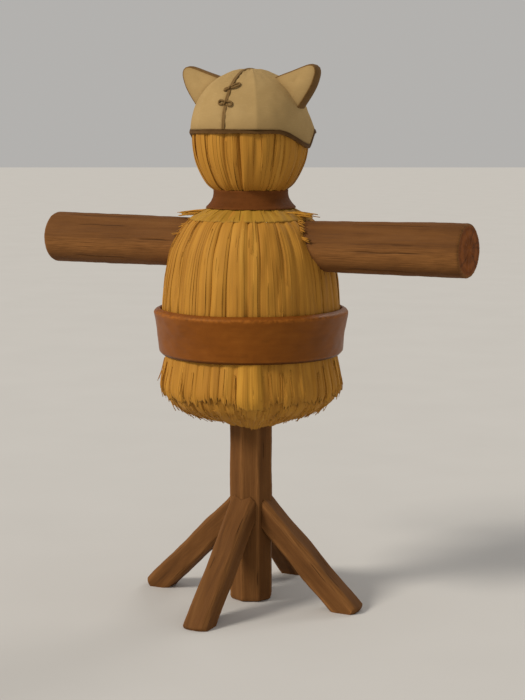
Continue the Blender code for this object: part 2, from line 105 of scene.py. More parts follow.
def set_values(obj, **values):
    """Point attributes: one number or one vector a point."""
    for name, value in values.items():
        value = np.asarray(value, np.float32)
        kind = "FLOAT_VECTOR" if value.ndim == 2 else "FLOAT"
        attribute = obj.data.attributes.new(name, kind, "POINT")
        attribute.data.foreach_set("vector" if value.ndim == 2 else "value", value.ravel())


def dress(obj, material, body, slot, *nodes):
    obj.data.materials.append(material)
    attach(obj, body)
    if nodes:
        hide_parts(*nodes)


def ripple(x, y, seed, first, last, count, reach=3.0):
    """Smooth noise from -1 to 1 that repeats every turn of x. It has whole waves first to last round."""
    rng = np.random.default_rng(seed)
    total = 0
    for _ in range(count):
        n = rng.integers(first, last + 1)
        total = total + np.cos(n * x + rng.uniform(-reach, reach) * y + rng.uniform(0, TURN))
    return total / math.sqrt(count) / 1.4


def smooth_step(x, a, b):
    t = np.clip((x - a) / (b - a), 0, 1)
    return t * t * (3 - 2 * t)


def curve_through(points, steps):
    """A smooth curve through a few points, as steps points evenly spread along it."""
    points = np.array(points, float)
    ends = np.vstack((2 * points[0] - points[1], points, 2 * points[-1] - points[-2]))
    t = np.linspace(0, 1, 16, endpoint=False)[:, None]
    out = []
    for a, b, c, d in zip(ends, ends[1:], ends[2:], ends[3:]):
        out.append(0.5 * (2 * b + (c - a) * t + (2 * a - 5 * b + 4 * c - d) * t ** 2
                          + (3 * b - a - 3 * c + d) * t ** 3))
    out = np.vstack(out + [points[-1:]])
    along = length_along(out)
    want = np.linspace(0, along[-1], steps)
    return np.stack([np.interp(want, along, out[:, k]) for k in range(out.shape[1])], axis=1)


def grid_faces(rows, columns, wrap):
    """Quads over a grid of points stored row by row; wrap joins the last column to the first."""
    r = np.arange(rows - 1)[:, None] * columns
    c = np.arange(columns if wrap else columns - 1)[None, :]
    d = (c + 1) % columns
    return np.stack((r + c, r + d, r + columns + d, r + columns + c), axis=-1).reshape(-1, 4)


def round_axis(radius, angle, z):
    """Points about the post's axis, by radius, angle from the front towards +X, and height."""
    return np.stack(np.broadcast_arrays(radius * np.sin(angle), -radius * np.cos(angle), z), axis=-1)


def turn_out(obj):
    """Faces the mesh outwards."""
    bm = bmesh.new()
    bm.from_mesh(obj.data)
    bmesh.ops.recalc_face_normals(bm, faces=bm.faces)
    bm.to_mesh(obj.data)
    bm.free()
    return obj


def sweep(name, rings):
    """A closed bar through rings of points, (rings, points, 3), with a flat face at each end."""
    count, n = rings.shape[:2]
    first = np.arange(n)[None, :]
    return build_mesh(name, rings.reshape(-1, 3),
                      [grid_faces(count, n, True), first, ((count - 1) * n + first)[:, ::-1]])


def shell(name, outside, inside):
    """A closed sheet from two equal grids of points, with a wall round its edge."""
    rows, columns = outside.shape[:2]
    n = rows * columns
    grid = grid_faces(rows, columns, False)
    index = np.arange(n).reshape(rows, columns)
    rim = np.concatenate((index[0], index[1:, -1], index[-1, -2::-1], index[-2:0:-1, 0]))
    ahead = np.roll(rim, -1)
    return build_mesh(name, np.concatenate((outside.reshape(-1, 3), inside.reshape(-1, 3))),
                      [grid, grid[:, ::-1] + n, np.stack((ahead, rim, rim + n, ahead + n), axis=-1)])


def length_along(path):
    """The distance from a path's start to each of its points."""
    return np.r_[0, np.cumsum(np.linalg.norm(np.diff(path, axis=0), axis=1))]


def unit(vectors):
    return vectors / np.linalg.norm(vectors, axis=-1, keepdims=True)


# ---------------------------------------------------------------- material helpers


class Look:
    """A material's node tree, with short calls for its nodes."""

    def __init__(self, name, **sockets):
        self.material = bpy.data.materials.new(name)
        self.material.use_nodes = True
        self.tree = self.material.node_tree
        self.shader = self.tree.nodes["Principled BSDF"]
        for socket, value in sockets.items():
            self.shader.inputs[socket.replace("_", " ")].default_value = value

    def node(self, kind, **settings):
        made = self.tree.nodes.new(f"ShaderNode{kind}")
        for key, value in settings.items():
            setattr(made, key, value)
        return made

    def feed(self, target, value):
        if isinstance(value, bpy.types.NodeSocket):
            self.tree.links.new(value, target)
        elif value is not None:
            target.default_value = value

    def attribute(self, name, vector=False):
        found = self.node("Attribute", attribute_name=name)
        return found.outputs["Vector" if vector else "Fac"]

    def place(self):
        return self.node("TexCoord").outputs["Object"]

    def scaled(self, vector, scale):
        made = self.node("Mapping")
        self.feed(made.inputs["Vector"], vector)
        made.inputs["Scale"].default_value = scale
        return made.outputs["Vector"]

    def noise(self, vector, scale, detail=3.0, rough=0.55, distort=0.0):
        made = self.node("TexNoise")
        self.feed(made.inputs["Vector"], vector)
        made.inputs["Scale"].default_value = scale
        made.inputs["Detail"].default_value = detail
        made.inputs["Roughness"].default_value = rough
        made.inputs["Distortion"].default_value = distort
        return made.outputs["Fac"]

    def voronoi(self, vector, scale):
        made = self.node("TexVoronoi")
        self.feed(made.inputs["Vector"], vector)
        made.inputs["Scale"].default_value = scale
        return made.outputs["Distance"]

    def math(self, operation, a, b=None, clamp=False):
        made = self.node("Math", operation=operation, use_clamp=clamp)
        self.feed(made.inputs[0], a)
        self.feed(made.inputs[1], b)
        return made.outputs[0]

    def total(self, *parts):
        """The sum of (value, weight) pairs."""
        result = None
        for value, weight in parts:
            share = value if weight == 1 else self.math("MULTIPLY", value, weight)
            result = share if result is None else self.math("ADD", result, share)
        return result

    def tint(self, colour, mask, weight, other):
        """The colour with another laid over it where a mask says."""
        return self.mix(self.math("MULTIPLY", mask, weight), colour, other)

    def wave(self, vector, distortion, detail, detail_scale, scale, **settings):
        made = self.node("TexWave", **settings)
        self.feed(made.inputs["Vector"], vector)
        for socket, value in (("Scale", scale), ("Distortion", distortion), ("Detail", detail),
                              ("Detail Scale", detail_scale)):
            made.inputs[socket].default_value = value
        return made.outputs["Fac"]

    def remap(self, value, from_low, from_high, to_low=0.0, to_high=1.0):
        made = self.node("MapRange")
        self.feed(made.inputs["Value"], value)
        for socket, number in zip(("From Min", "From Max", "To Min", "To Max"),
                                  (from_low, from_high, to_low, to_high)):
            made.inputs[socket].default_value = number
        return made.outputs["Result"]

    def ramp(self, value, *stops):
        made = self.node("ValToRGB")
        self.feed(made.inputs["Fac"], value)
        elements = made.color_ramp.elements
        while len(elements) < len(stops):
            elements.new(0.5)
        for element, (position, colour) in zip(elements, stops):
            element.position = position
            element.color = (*colour, 1)
        return made.outputs["Color"]

    def mix(self, factor, a, b):
        made = self.node("Mix", data_type="RGBA")
        self.feed(made.inputs["Factor"], factor)
        self.feed(made.inputs[6], (*a, 1) if isinstance(a, tuple) else a)
        self.feed(made.inputs[7], (*b, 1) if isinstance(b, tuple) else b)
        return made.outputs[2]

    def finish(self, colour, roughness=None, height=None, depth=0.001, strength=0.6):
        self.feed(self.shader.inputs["Base Color"], colour)
        self.feed(self.shader.inputs["Roughness"], roughness)
        if height is not None:
            bump = self.node("Bump")
            bump.inputs["Strength"].default_value = strength
            bump.inputs["Distance"].default_value = depth
            self.feed(bump.inputs["Height"], height)
            self.feed(self.shader.inputs["Normal"], bump.outputs["Normal"])
        return self.material


def times(share, tone):
    return tuple(min(1, share * c) for c in tone)


def straw_look(name, dark, warm=1.0):
    """Dry straw: a tone for each stalk, fine streaks along it, painted shade in the grooves between stalks and
    locks.
    """
    look = Look(name, Roughness=0.70, Specular_IOR_Level=0.18)
    strand = look.attribute("strand", vector=True)
    streak = look.noise(look.scaled(strand, (420, 14, 1)), 1.0, 4.0, 0.6)
    broad = look.noise(look.scaled(strand, (34, 3, 0.15)), 1.0, 3.0, 0.55)
    patch = look.noise(look.scaled(look.place(), (7, 7, 4)), 1.0, 2.0, 0.5)
    mixed = look.total((look.attribute("tone"), 0.15), (streak, 0.20), (broad, 0.48), (patch, 0.20))
    tones = ((0.0, (0.30, 0.124 * warm, 0.015)), (0.35, (0.44, 0.195 * warm, 0.023)),
             (0.65, (0.55, 0.258 * warm, 0.033)), (1.0, (0.70, 0.372 * warm, 0.062)))
    colour = look.ramp(look.remap(mixed, 0.24, 0.80), *[(at, times(dark, tone)) for at, tone in tones])
    # Painted shade: where the shade attribute is low, in the grooves and on a layer's back, the colour goes
    # deep brown.
    groove = look.remap(look.attribute("shade"), 0.0, 0.8, 0.0, 1.0)
    colour = look.mix(groove, times(dark, (0.17, 0.072, 0.010)), colour)
    colour = look.tint(colour, look.attribute("cut"), 0.45, times(dark, (0.36, 0.19, 0.035)))
    roughness = look.remap(streak, 0.3, 0.7, 0.62, 0.80)
    return look.finish(colour, roughness, streak, 0.0006, 0.35)


def wood_look(name, dark_tone, mid_tone, light_tone):
    """Weathered timber: long grain, dark checks, paler worn edges, rings on the end grain."""
    look = Look(name, Roughness=0.82, Specular_IOR_Level=0.14)
    grain = look.attribute("grain", vector=True)
    long_wave = look.noise(look.scaled(grain, (26, 1.6, 1)), 1.0, 5.0, 0.62, 0.6)
    fine = look.noise(look.scaled(grain, (420, 9, 1)), 1.0, 4.0, 0.65)
    blotch = look.noise(look.scaled(look.place(), (5, 5, 5)), 1.0, 3.0, 0.55)
    mixed = look.total((long_wave, 0.55), (fine, 0.26), (blotch, 0.22))
    colour = look.ramp(look.remap(mixed, 0.32, 0.76), (0.0, dark_tone), (0.45, mid_tone), (1.0, light_tone))
    rings = look.wave(look.attribute("pith", vector=True), 2.2, 3.0, 1.4, 42.0, wave_type="RINGS",
                      rings_direction="SPHERICAL")
    red, green, blue = mid_tone
    rings = look.mix(rings, (1.18 * red, 0.86 * green, 0.52 * blue), (1.75 * red, 1.32 * green, 0.9 * blue))
    colour = look.mix(look.attribute("end"), colour, rings)
    edge = look.math("MULTIPLY", look.attribute("edge"), look.remap(fine, 0.35, 0.6))
    colour = look.tint(colour, edge, 0.55, times(1.55, light_tone))
    colour = look.tint(colour, look.attribute("crack"), 0.80, times(0.35, dark_tone))
    height = look.total((fine, 0.6), (long_wave, 1))
    roughness = look.remap(fine, 0.3, 0.7, 0.66, 0.86)
    return look.finish(colour, roughness, height, 0.0010, 0.45)


def leather_look(name, gloss, deep, body, bright, shine=0.13):
    """Oiled leather: pebbled grain, soft blotches, dark wrinkles, edges painted lighter by wear and, on the
    belt, by a painted highlight; painted shade on the belt's underside.
    """
    look = Look(name, Roughness=gloss, Specular_IOR_Level=shine, Specular_Tint=(1.0, 0.55, 0.22, 1.0))
    place = look.place()
    blotch = look.noise(look.scaled(place, (7, 7, 9)), 1.0, 4.0, 0.6, 0.4)
    smear = look.noise(look.scaled(place, (10, 10, 60)), 1.0, 3.0, 0.6)
    pebble = look.voronoi(place, 420.0)
    pore = look.noise(place, 900.0, 2.0)
    mixed = look.total((blotch, 0.70), (smear, 0.30))
    colour = look.ramp(look.remap(mixed, 0.20, 0.80), (0.0, deep), (0.5, body), (1.0, bright))
    colour = look.mix(look.remap(pebble, 0.0, 0.35, 0.25, 0.0), colour, deep)
    # Edges painted lighter: wear, and on the belt a painted highlight along its top lip and above its lower
    # edge.
    worn = look.math("MULTIPLY", look.attribute("edge"), look.remap(look.noise(place, 90.0, 3.0), 0.38, 0.62))
    colour = look.tint(colour, worn, 0.6, times(1.45, bright))
    # Darkened where the leather folds, and on the belt's underside: painted shade.
    colour = look.tint(colour, look.attribute("crease"), 0.8, times(0.35, deep))
    roughness = look.math("ADD", look.remap(blotch, 0.3, 0.7, gloss - 0.07, gloss + 0.10),
                          look.math("MULTIPLY", worn, 0.15), True)
    height = look.total((pebble, 0.8), (pore, 0.35))
    return look.finish(colour, roughness, height, 0.0008, 0.5)


def canvas_look():
    """Heavy undyed canvas: over-and-under weave, slubs, darker near edges and seams, with painted shade on the
    ears and on the shells' insides.
    """
    look = Look("canvas", Roughness=0.95, Specular_IOR_Level=0.08)
    place = look.place()
    weave = look.attribute("weave", vector=True)
    cloth = look.total(*[(look.wave(weave, 0.9, 2.0, 3.0, 150.0, bands_direction=axis), 0.5) for axis in "XY"])
    slub = look.noise(look.scaled(weave, (40, 260, 1)), 1.0, 3.0, 0.6)
    blotch = look.noise(look.scaled(place, (9, 9, 9)), 1.0, 4.0, 0.6)
    colour = look.ramp(look.remap(blotch, 0.32, 0.70), (0.0, (0.45, 0.300, 0.125)),
                       (0.5, (0.49, 0.330, 0.140)), (1.0, (0.53, 0.362, 0.158)))
    colour = look.mix(look.remap(cloth, 0.15, 0.8, 0.30, 0.0), colour, (0.28, 0.18, 0.070))
    colour = look.mix(look.remap(slub, 0.55, 0.75, 0.0, 0.25), colour, (0.62, 0.45, 0.22))
    # Darkened where the attribute says: near the cap's hem and seam, and painted shade on the ears and on the
    # insides.
    dirt = look.math("MULTIPLY", look.attribute("dirt"), look.remap(blotch, 0.25, 0.6, 0.45, 1.0))
    colour = look.tint(colour, dirt, 0.62, (0.21, 0.125, 0.048))
    return look.finish(colour, None, look.total((cloth, 1), (slub, 0.4)), 0.0009, 0.6)


def plain_look(name, tones, scale, roughness, metallic=0.0, depth=0.0006):
    """A mottled material for the small pieces: pegs, rivets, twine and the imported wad."""
    look = Look(name, Roughness=roughness, Metallic=metallic)
    mottle = look.noise(look.scaled(look.place(), scale), 1.0, 4.0, 0.6)
    colour = look.ramp(look.remap(mottle, 0.3, 0.7), (0.0, tones[0]), (1.0, tones[1]))
    rough = look.remap(mottle, 0.3, 0.7, roughness - 0.08, min(1.0, roughness + 0.1))
    return look.finish(colour, rough, mottle, depth, 0.5)


# ---------------------------------------------------------------- stage: camera, floor, light


def make_stage():
    scene = bpy.context.scene
    azimuth, distance, height = math.radians(26.56), 5.073, 1.541
    heading, pitch = math.radians(26.56 - 0.42), math.radians(8.04)
    camera = bpy.data.objects.new("camera", bpy.data.cameras.new("camera"))
    scene.collection.objects.link(camera)
    camera.data.lens = 81.43
    camera.data.sensor_width = 36
    camera.data.clip_end = 60
    camera.location = (distance * math.sin(azimuth), -distance * math.cos(azimuth), height)
    forward = Vector((-math.sin(heading) * math.cos(pitch), math.cos(heading) * math.cos(pitch),
                      -math.sin(pitch)))
    camera.rotation_euler = forward.to_track_quat("-Z", "Y").to_euler()
    scene.camera = camera

    scene.view_settings.view_transform = "Standard"
    world = bpy.data.worlds.new("studio")
    scene.world = world
    world.use_nodes = True
    world.node_tree.nodes["Background"].inputs["Color"].default_value = (0.90, 0.88, 0.85, 1)
    world.node_tree.nodes["Background"].inputs["Strength"].default_value = 0.50

    bm = bmesh.new()
    bmesh.ops.create_circle(bm, cap_ends=True, radius=60, segments=64)
    mesh = bpy.data.meshes.new("floor")
    bm.to_mesh(mesh)
    bm.free()
    floor = bpy.data.objects.new("floor", mesh)
    scene.collection.objects.link(floor)
    look = Look("floor", Roughness=0.95, Specular_IOR_Level=0.0)
    speck = look.ramp(look.noise(look.place(), 2.0, 2.0), (0.3, (0.590, 0.580, 0.565)),
                      (0.7, (0.605, 0.595, 0.580)))
    mesh.materials.append(look.finish(speck))

    for name, turn, rise, strength, angle, tint in (("key", -36, 34, 2.35, 16, (1.0, 0.93, 0.82)),
                                                    ("rim", 165, 35, 0.50, 20, (1.0, 0.95, 0.88))):
        data = bpy.data.lights.new(name, "SUN")
        data.energy, data.angle, data.color = strength, math.radians(angle), tint
        light = bpy.data.objects.new(name, data)
        a, up = math.radians(turn), math.radians(rise)
        aim = -Vector((math.sin(a) * math.cos(up), -math.cos(a) * math.cos(up), math.sin(up)))
        light.rotation_euler = aim.to_track_quat("-Z", "Y").to_euler()
        scene.collection.objects.link(light)


# ---------------------------------------------------------------- straw


def line_reader(line):
    """Reads an outline of (height, radius) points, root first, by distance along it, also past its end."""
    along = length_along(line)
    last = unit(line[-1] - line[-3])

    def read(s):
        over = np.clip(s - along[-1], 0, None)
        z = np.interp(s, along, line[:, 0]) + over * last[0]
        r = np.interp(s, along, line[:, 1]) + over * last[1]
        step = 0.002
        dz = np.interp(s + step, along, line[:, 0]) - np.interp(s - step, along, line[:, 0])
        dr = np.interp(s + step, along, line[:, 1]) - np.interp(s - step, along, line[:, 1])
        flat = np.hypot(dz, dr) < 1e-9
        dz, dr = np.where(flat, last[0], dz), np.where(flat, last[1], dr)
        size = np.hypot(dz, dr)
        return z, r, -dz / size, dr / size  # the last two: the outward normal's r and z

    return read, along[-1]


def lock_edges(rng, start, stop, width):
    """Angles of the grooves between locks of straw, unevenly spaced."""
    steps = [start]
    while steps[-1] < stop:
        steps.append(steps[-1] + width * rng.uniform(0.45, 1.6))
    steps = np.array(steps)
    return start + (steps - start) * (stop - start) / (steps[-1] - start)


def straw_layer(name, line, seed, look, rows, lock, swell, groove, rag, lock_rag, thick, relief,
                whole_groove=0.62, narrow_groove=0.0040, stalk=0.0052, start=0.0, stop=TURN, drop=None,
                side_round=0.0, slot="straw", nodes=()):
    """One layer of laid straw over an outline: a ridge for each stalk, swelling locks with grooves
    between them, and each stalk cut to its own length. Lengths are in metres, and lock is an angle."""
    rng = np.random.default_rng(seed)
    whole = stop - start > TURN - 1e-6
    read, length = line_reader(line)
    widest = line[:, 1].max()
    stalks = int((stop - start) * widest / stalk)
    columns = stalks * 3 + (0 if whole else 1)
    c = np.arange(columns)
    own = np.minimum(c // 3, stalks - 1)
    ridge = np.array([0.0, 1.0, 0.86])[c % 3] * np.where(c < stalks * 3, 1, 0)
    bulk = rng.uniform(0.45, 1.5, stalks)
    tone = np.clip(rng.normal(0.5, 0.22, stalks), 0, 1)
    base = start + (stop - start) * c / (stalks * 3)
    # Where each stalk ends, against the outline's own end.
    edges = lock_edges(rng, start, stop, lock)
    which = np.clip(np.searchsorted(edges, base, side="right") - 1, 0, len(edges) - 2)
    inside = (base - edges[which]) / (edges[which + 1] - edges[which])
    own_end = rng.normal(0, rag * 0.55, stalks)
    lock_end = rng.uniform(-lock_rag, lock_rag, len(edges))
    end = own_end[own] + lock_end[which] - (1 - np.sin(np.pi * inside)) * lock_rag * 0.35
    end = end + ripple(base, 0, seed + 1, 2, 7, 4) * lock_rag * 0.5
    own_drop = 0 if drop is None else drop(base)
    end = end + own_drop
    end = np.where(ridge == 0, end - rag * rng.uniform(0.15, 0.9, columns), end)
    end = np.minimum(end, 1.8 * rag + own_drop)
    # Rows from the root to the tip, closer together near the tip.
    t = np.linspace(0, 1, rows)
    t = (0.75 * t + 0.25 * np.sin(t * math.pi / 2))[:, None]
    s = t * (length + end)[None, :]
    angle = base[None, :] + STRAW_SWAY * ripple(base[None, :], s * 9, seed + 2, 5, 16, 6)
    angle = angle + 0.0007 / widest * rng.normal(0, 1, stalks)[own][None, :] * (s / 0.1)
    # Locks: a swell across each, a groove where two meet, fading in and out along its length.
    round_lock = 1 - np.abs(2 * inside - 1) ** 2.4
    near = np.minimum(inside, 1 - inside) * (edges[which + 1] - edges[which]) * widest
    side = np.where(inside > 0.5, which + 1, which)
    fade_phase, fade_rate = rng.uniform(0, TURN, len(edges) + 1), rng.uniform(6, 22, len(edges) + 1)
    fade = np.sin(s * fade_rate[side][None, :] + fade_phase[side][None, :])
    fade = whole_groove + (1.2 - whole_groove) * fade
    cleft = np.exp(-(near / narrow_groove) ** 2)[None, :] * np.clip(fade, 0, 1)
    root = smooth_step(s, 0.0, 0.05)
    lock_size = rng.uniform(0.55, 1.25, len(edges))[which]
    # A lock narrows with its layer, so its swell does too.
    z, r, nr, nz = read(s)
    narrow = np.clip(r / widest, 0.3, 1)
    out = swell * (round_lock * lock_size)[None, :] * root * narrow - groove * cleft * narrow
    out = out + 0.0018 * ripple(base[None, :], s * 14, seed + 3, 9, 40, 8)
    out = out + relief * (ridge * bulk[own])[None, :] * narrow
    out = out - smooth_step(t, 0.9, 1.0) * 0.0015
    across = np.minimum(base - start, stop - base) * widest
    out = out - side_round * (1 - smooth_step(across, 0, 0.022))[None, :]
    front = round_axis(r + out * nr, angle, z + out * nz)
    # The back is a plain sheet, with fewer rows where the layer goes all the way round.
    pick = np.round(np.linspace(0, rows - 1, 8 if whole else rows)).astype(int)
    inward = np.minimum(out[pick].min(axis=1, keepdims=True), 0) - thick
    back = round_axis(np.maximum(r[pick] + inward * nr[pick], 0.01), angle[pick], z[pick] + inward * nz[pick])
    if whole:
        first, last = rows * columns, (rows + len(pick) - 1) * columns
        a = np.arange(columns)
        b = (a + 1) % columns
        tip = first - columns
        faces = [grid_faces(rows, columns, True)[:, ::-1], grid_faces(len(pick), columns, True) + first,
                 np.stack((first + b, first + a, a, b), axis=-1),
                 np.stack((last + a, last + b, tip + b, tip + a), axis=-1)]
        obj = build_mesh(name, np.concatenate((front.reshape(-1, 3), back.reshape(-1, 3))), faces)
    else:
        obj = turn_out(shell(name, front, back))
    # Painted shade: darker in the hollows between stalks, in the grooves between locks and towards each lock's
    # sides.
    shade = 0.85 + 0.15 * np.broadcast_to((ridge ** 0.7)[None, :], s.shape)
    shade = shade * (1 - 0.42 * cleft * np.clip(groove / 0.006, 0, 1))
    shade = shade * (0.90 + 0.10 * np.clip(round_lock, 0, 1)[None, :])
    tones = np.broadcast_to(tone[own][None, :], s.shape) + 0.45 * (lock_size[None, :] - 0.9)
    strand = np.stack(np.broadcast_arrays(base * widest, s, own * 0.37), axis=-1)
    cut = smooth_step(t, 0.965, 1.0) * np.ones_like(s)

    def both(values):
        tail = values[pick]
        return np.concatenate((values.reshape(-1, *values.shape[2:]), tail.reshape(-1, *values.shape[2:])))

    # The back sheet of the layer is painted dark: painted shade.
    painted_shade_with_back = np.concatenate((shade.ravel(), np.full(pick.size * columns, 0.30)))
    set_values(obj, shade=painted_shade_with_back, tone=both(tones), strand=both(strand), cut=both(cut))
    dress(obj, look, "stand", slot, *nodes)


def loose_stalks(name, paths, radius, seed, look):
    """Separate stalks: paths is (stalks, points, 3). Each is a thin, closed, slightly flattened tube."""
    rng = np.random.default_rng(seed)
    sides = 5
    count, steps = paths.shape[:2]
    ahead = unit(np.gradient(paths, axis=1))
    up = np.array([0.3, 0.1, 1.0]) + rng.normal(0, 0.35, (count, 1, 3))
    side = unit(np.cross(ahead, up))
    other = np.cross(ahead, side)
    size = radius * rng.uniform(0.7, 1.25, (count, 1, 1))
    taper = np.linspace(1.0, 0.78, steps)[None, :, None]
    rings = []
    for k in range(sides):
        a = TURN * k / sides
        rings.append(paths + size * taper * (math.cos(a) * side + 0.72 * math.sin(a) * other))
    points = np.stack(rings, axis=2).reshape(-1, 3)  # stalk, step, side
    base = (np.arange(count) * steps * sides)[:, None, None]
    walls = (grid_faces(steps, sides, True)[None] + base).reshape(-1, 4)
    first = np.arange(sides)[None, :] + base[:, 0]
    obj = build_mesh(name, points, [walls[:, ::-1], first, first[:, ::-1] + (steps - 1) * sides])
    tone = np.clip(rng.normal(0.62, 0.22, count), 0, 1)
    length = np.linalg.norm(paths[:, -1] - paths[:, 0], axis=1)[:, None, None]
    which = np.arange(count)[:, None, None]
    full = np.ones((count, steps, sides))
    along = np.linspace(0, 1, steps)[None, :, None] * length
    across = np.arange(sides) * 0.002 + which * 0.013
    strand = np.stack(np.broadcast_arrays(across, along, which * 0.61), axis=-1)
    cut = np.zeros_like(full)
    cut[:, [0, -1]] = 0.8
    set_values(obj, tone=(full * tone[:, None, None]).ravel(), shade=(full * 0.92).ravel(),
               strand=strand.reshape(-1, 3), cut=cut.ravel())
    dress(turn_out(obj), look, "stand", "straw")


def stalks_on(rng, line, count, length, from_s, lift, tilt, fly):
    """Paths of loose stalks on an outline: their lengths, the share of it where they start, how far they lie
    off it and lean, and how far their tips fly up."""
    read, whole = line_reader(line)
    long = rng.uniform(*length, count)
    s0 = rng.uniform(*from_s, count) * whole
    t = np.linspace(0, 1, 6)[None, :]
    s = s0[:, None] + long[:, None] * t
    angle = rng.uniform(0, TURN, count)[:, None]
    widest = line[:, 1].max()
    z, r, nr, nz = read(s)
    angle = angle + rng.normal(0, tilt, count)[:, None] * (s - s0[:, None]) / np.maximum(r, 0.4 * widest)
    angle = angle + rng.normal(0, 0.004, count)[:, None] * np.sin(t * 3)
    out = rng.uniform(*lift, count)[:, None] + np.abs(rng.normal(0, 1, count))[:, None] * fly * t ** 2
    out = out + 0.0008 * np.sin(t * 5 + rng.uniform(0, 6, count)[:, None])
    return round_axis(r + out * nr, angle, z + out * nz)


STRAW_SWAY = 0.010  # how far stalks wander to the side, as an angle
TORSO_LINE = ((1.312, 0.1020), (1.300, 0.1040), (1.284, 0.1230), (1.266, 0.1580), (1.236, 0.2050),
              (1.191, 0.2350), (1.1455, 0.2560), (1.0815, 0.2700), (1.043, 0.2755), (0.973, 0.2820),
              (0.940, 0.2820), (0.905, 0.2780))
SKIRT_LINE = ((0.894, 0.2740), (0.860, 0.2710), (0.814, 0.2715), (0.776, 0.2785), (0.739, 0.2855),
              (0.720, 0.2875), (0.705, 0.2865), (0.690, 0.2820))
UNDER_LINE = ((0.860, 0.2610), (0.800, 0.2640), (0.740, 0.2730), (0.705, 0.2760), (0.684, 0.2700),
              (0.663, 0.2560), (0.643, 0.2270), (0.625, 0.1860), (0.616, 0.1440), (0.614, 0.1080),
              (0.614, 0.0840))
TONGUE_LINE = ((0.668, 0.2630), (0.640, 0.2240), (0.619, 0.1820), (0.604, 0.1480), (0.592, 0.1230),
               (0.581, 0.1060))
HEAD_LINE = ((HEAD_CENTRE + 0.180, 0.006), (HEAD_CENTRE + 0.170, 0.058), (HEAD_CENTRE + 0.145, 0.105),
             (HEAD_CENTRE + 0.100, 0.149), (HEAD_CENTRE + 0.045, 0.1735), (1.518, 0.1800), (1.476, 0.1785),
             (1.438, 0.1715), (1.399, 0.1560), (1.365, 0.1365), (1.3457, 0.1165), (1.334, 0.1040),
             (1.320, 0.1020))
RUFF_LINE = ((1.304, 0.1060), (1.294, 0.1190), (1.278, 0.1460), (1.262, 0.1760), (1.250, 0.1970))


def make_straw(straw, shaded, green, pale):
    torso, under, head = (curve_through(line, 60) for line in (TORSO_LINE, UNDER_LINE, HEAD_LINE))
    skirt, ruff = curve_through(SKIRT_LINE, 40), curve_through(RUFF_LINE, 24)
    straw_layer("straw_torso_locks", torso, 11, straw, 54, lock=0.20, swell=0.0055, groove=0.0030, rag=0.002,
                lock_rag=0.002, thick=0.012, relief=0.0003, whole_groove=0.06, nodes=["straw_torso"])
    straw_layer("straw_under_locks", under, 21, shaded, 44, lock=0.22, swell=0.005, groove=0.0032, rag=0.004,
                lock_rag=0.003, thick=0.006, relief=0.0006, whole_groove=0.20, slot="straw_wad",
                nodes=["straw_core"])
    straw_layer("straw_skirt_locks", skirt, 31, straw, 34, lock=0.11, swell=0.005, groove=0.0018, rag=0.010,
                lock_rag=0.010, thick=0.006, relief=0.0004, whole_groove=0.15, nodes=["straw_skirt"])
    straw_layer("straw_head_locks", head, 42, straw, 56, lock=0.27, swell=0.0065, groove=0.0046, rag=0.001,
                lock_rag=0.001, thick=0.010, relief=0.0003, whole_groove=0.35, narrow_groove=0.0030,
                stalk=0.0046, nodes=["straw_head"])
    # The ruff takes the greener straw, which is painted darker: painted shade under the collar.
    straw_layer("straw_ruff_locks", ruff, 51, green, 18, lock=0.30, swell=0.0009, groove=0.0002, rag=0.0014,
                lock_rag=0.001, thick=0.003, relief=0.0001, whole_groove=0.0, stalk=0.0046,
                nodes=["straw_ruff"])
    make_skirt_locks(skirt, straw, pale)
    straw_layer("straw_tongue", curve_through(TONGUE_LINE, 30), 55, shaded, 26, lock=0.16, swell=0.003,
                groove=0.002, rag=0.006, lock_rag=0.004, thick=0.004, relief=0.0009, slot="straw_wad",
                start=TONGUE_ANGLE - TONGUE_HALF, stop=TONGUE_ANGLE + TONGUE_HALF, side_round=0.004,
                drop=lambda a: -0.052 * np.abs(a - TONGUE_ANGLE) / TONGUE_HALF)
    rng = np.random.default_rng(77)
    # Loose stalks: radius, look, then what stalks_on takes.
    for k, (name, size, look, *lying) in enumerate((
            ("torso", 0.0012, straw, torso, 70, (0.06, 0.20), (0.12, 0.55), (0.0035, 0.006), 0.06, 0),
            ("skirt", 0.0016, straw, skirt, 120, (0.07, 0.112), (0.44, 0.58), (0.001, 0.006), 0.05, 0.004),
            ("under", 0.0018, shaded, under, 560, (0.022, 0.055), (0.42, 0.86), (0.001, 0.003), 0.10, 0.006),
            ("head", 0.0012, straw, head, 36, (0.06, 0.14), (0.48, 0.62), (0.003, 0.006), 0.04, 0),
            ("ruff", 0.0011, green, ruff, 40, (0.05, 0.090), (0.0, 0.2), (0.0006, 0.0024), 0.12, 0))):
        loose_stalks(f"straw_stalks_{name}", stalks_on(rng, *lying), size, k + 1, look)
    make_tufts(straw, pale, rng)


def make_skirt_locks(skirt, straw, pale):
    """Separate flat locks that hang over the skirt, the brightest and longest of them at the front; its
    brightness is partly painted light.
    """
    for k, (middle, wide, reach) in enumerate(((26, 0.080, 0.012), (-30, 0.13, 0.004), (66, 0.15, 0.0),
                                               (-100, 0.12, 0.002), (126, 0.14, -0.006), (-148, 0.13, 0.004),
                                               (176, 0.12, 0.0))):
        line = skirt.copy()
        line[:, 1] += 0.0040 if k else 0.0115
        half = wide / 0.29 / 2
        straw_layer(f"straw_lock_{k + 1}", line, 61 + k, straw if k else pale, 30, lock=0.10, swell=0.003,
                    groove=0.002, rag=0.008, lock_rag=0.004, thick=0.004, relief=0.0005, side_round=0.004,
                    start=math.radians(middle) - half, stop=math.radians(middle) + half,
                    drop=lambda a, reach=reach: np.full_like(a, reach))


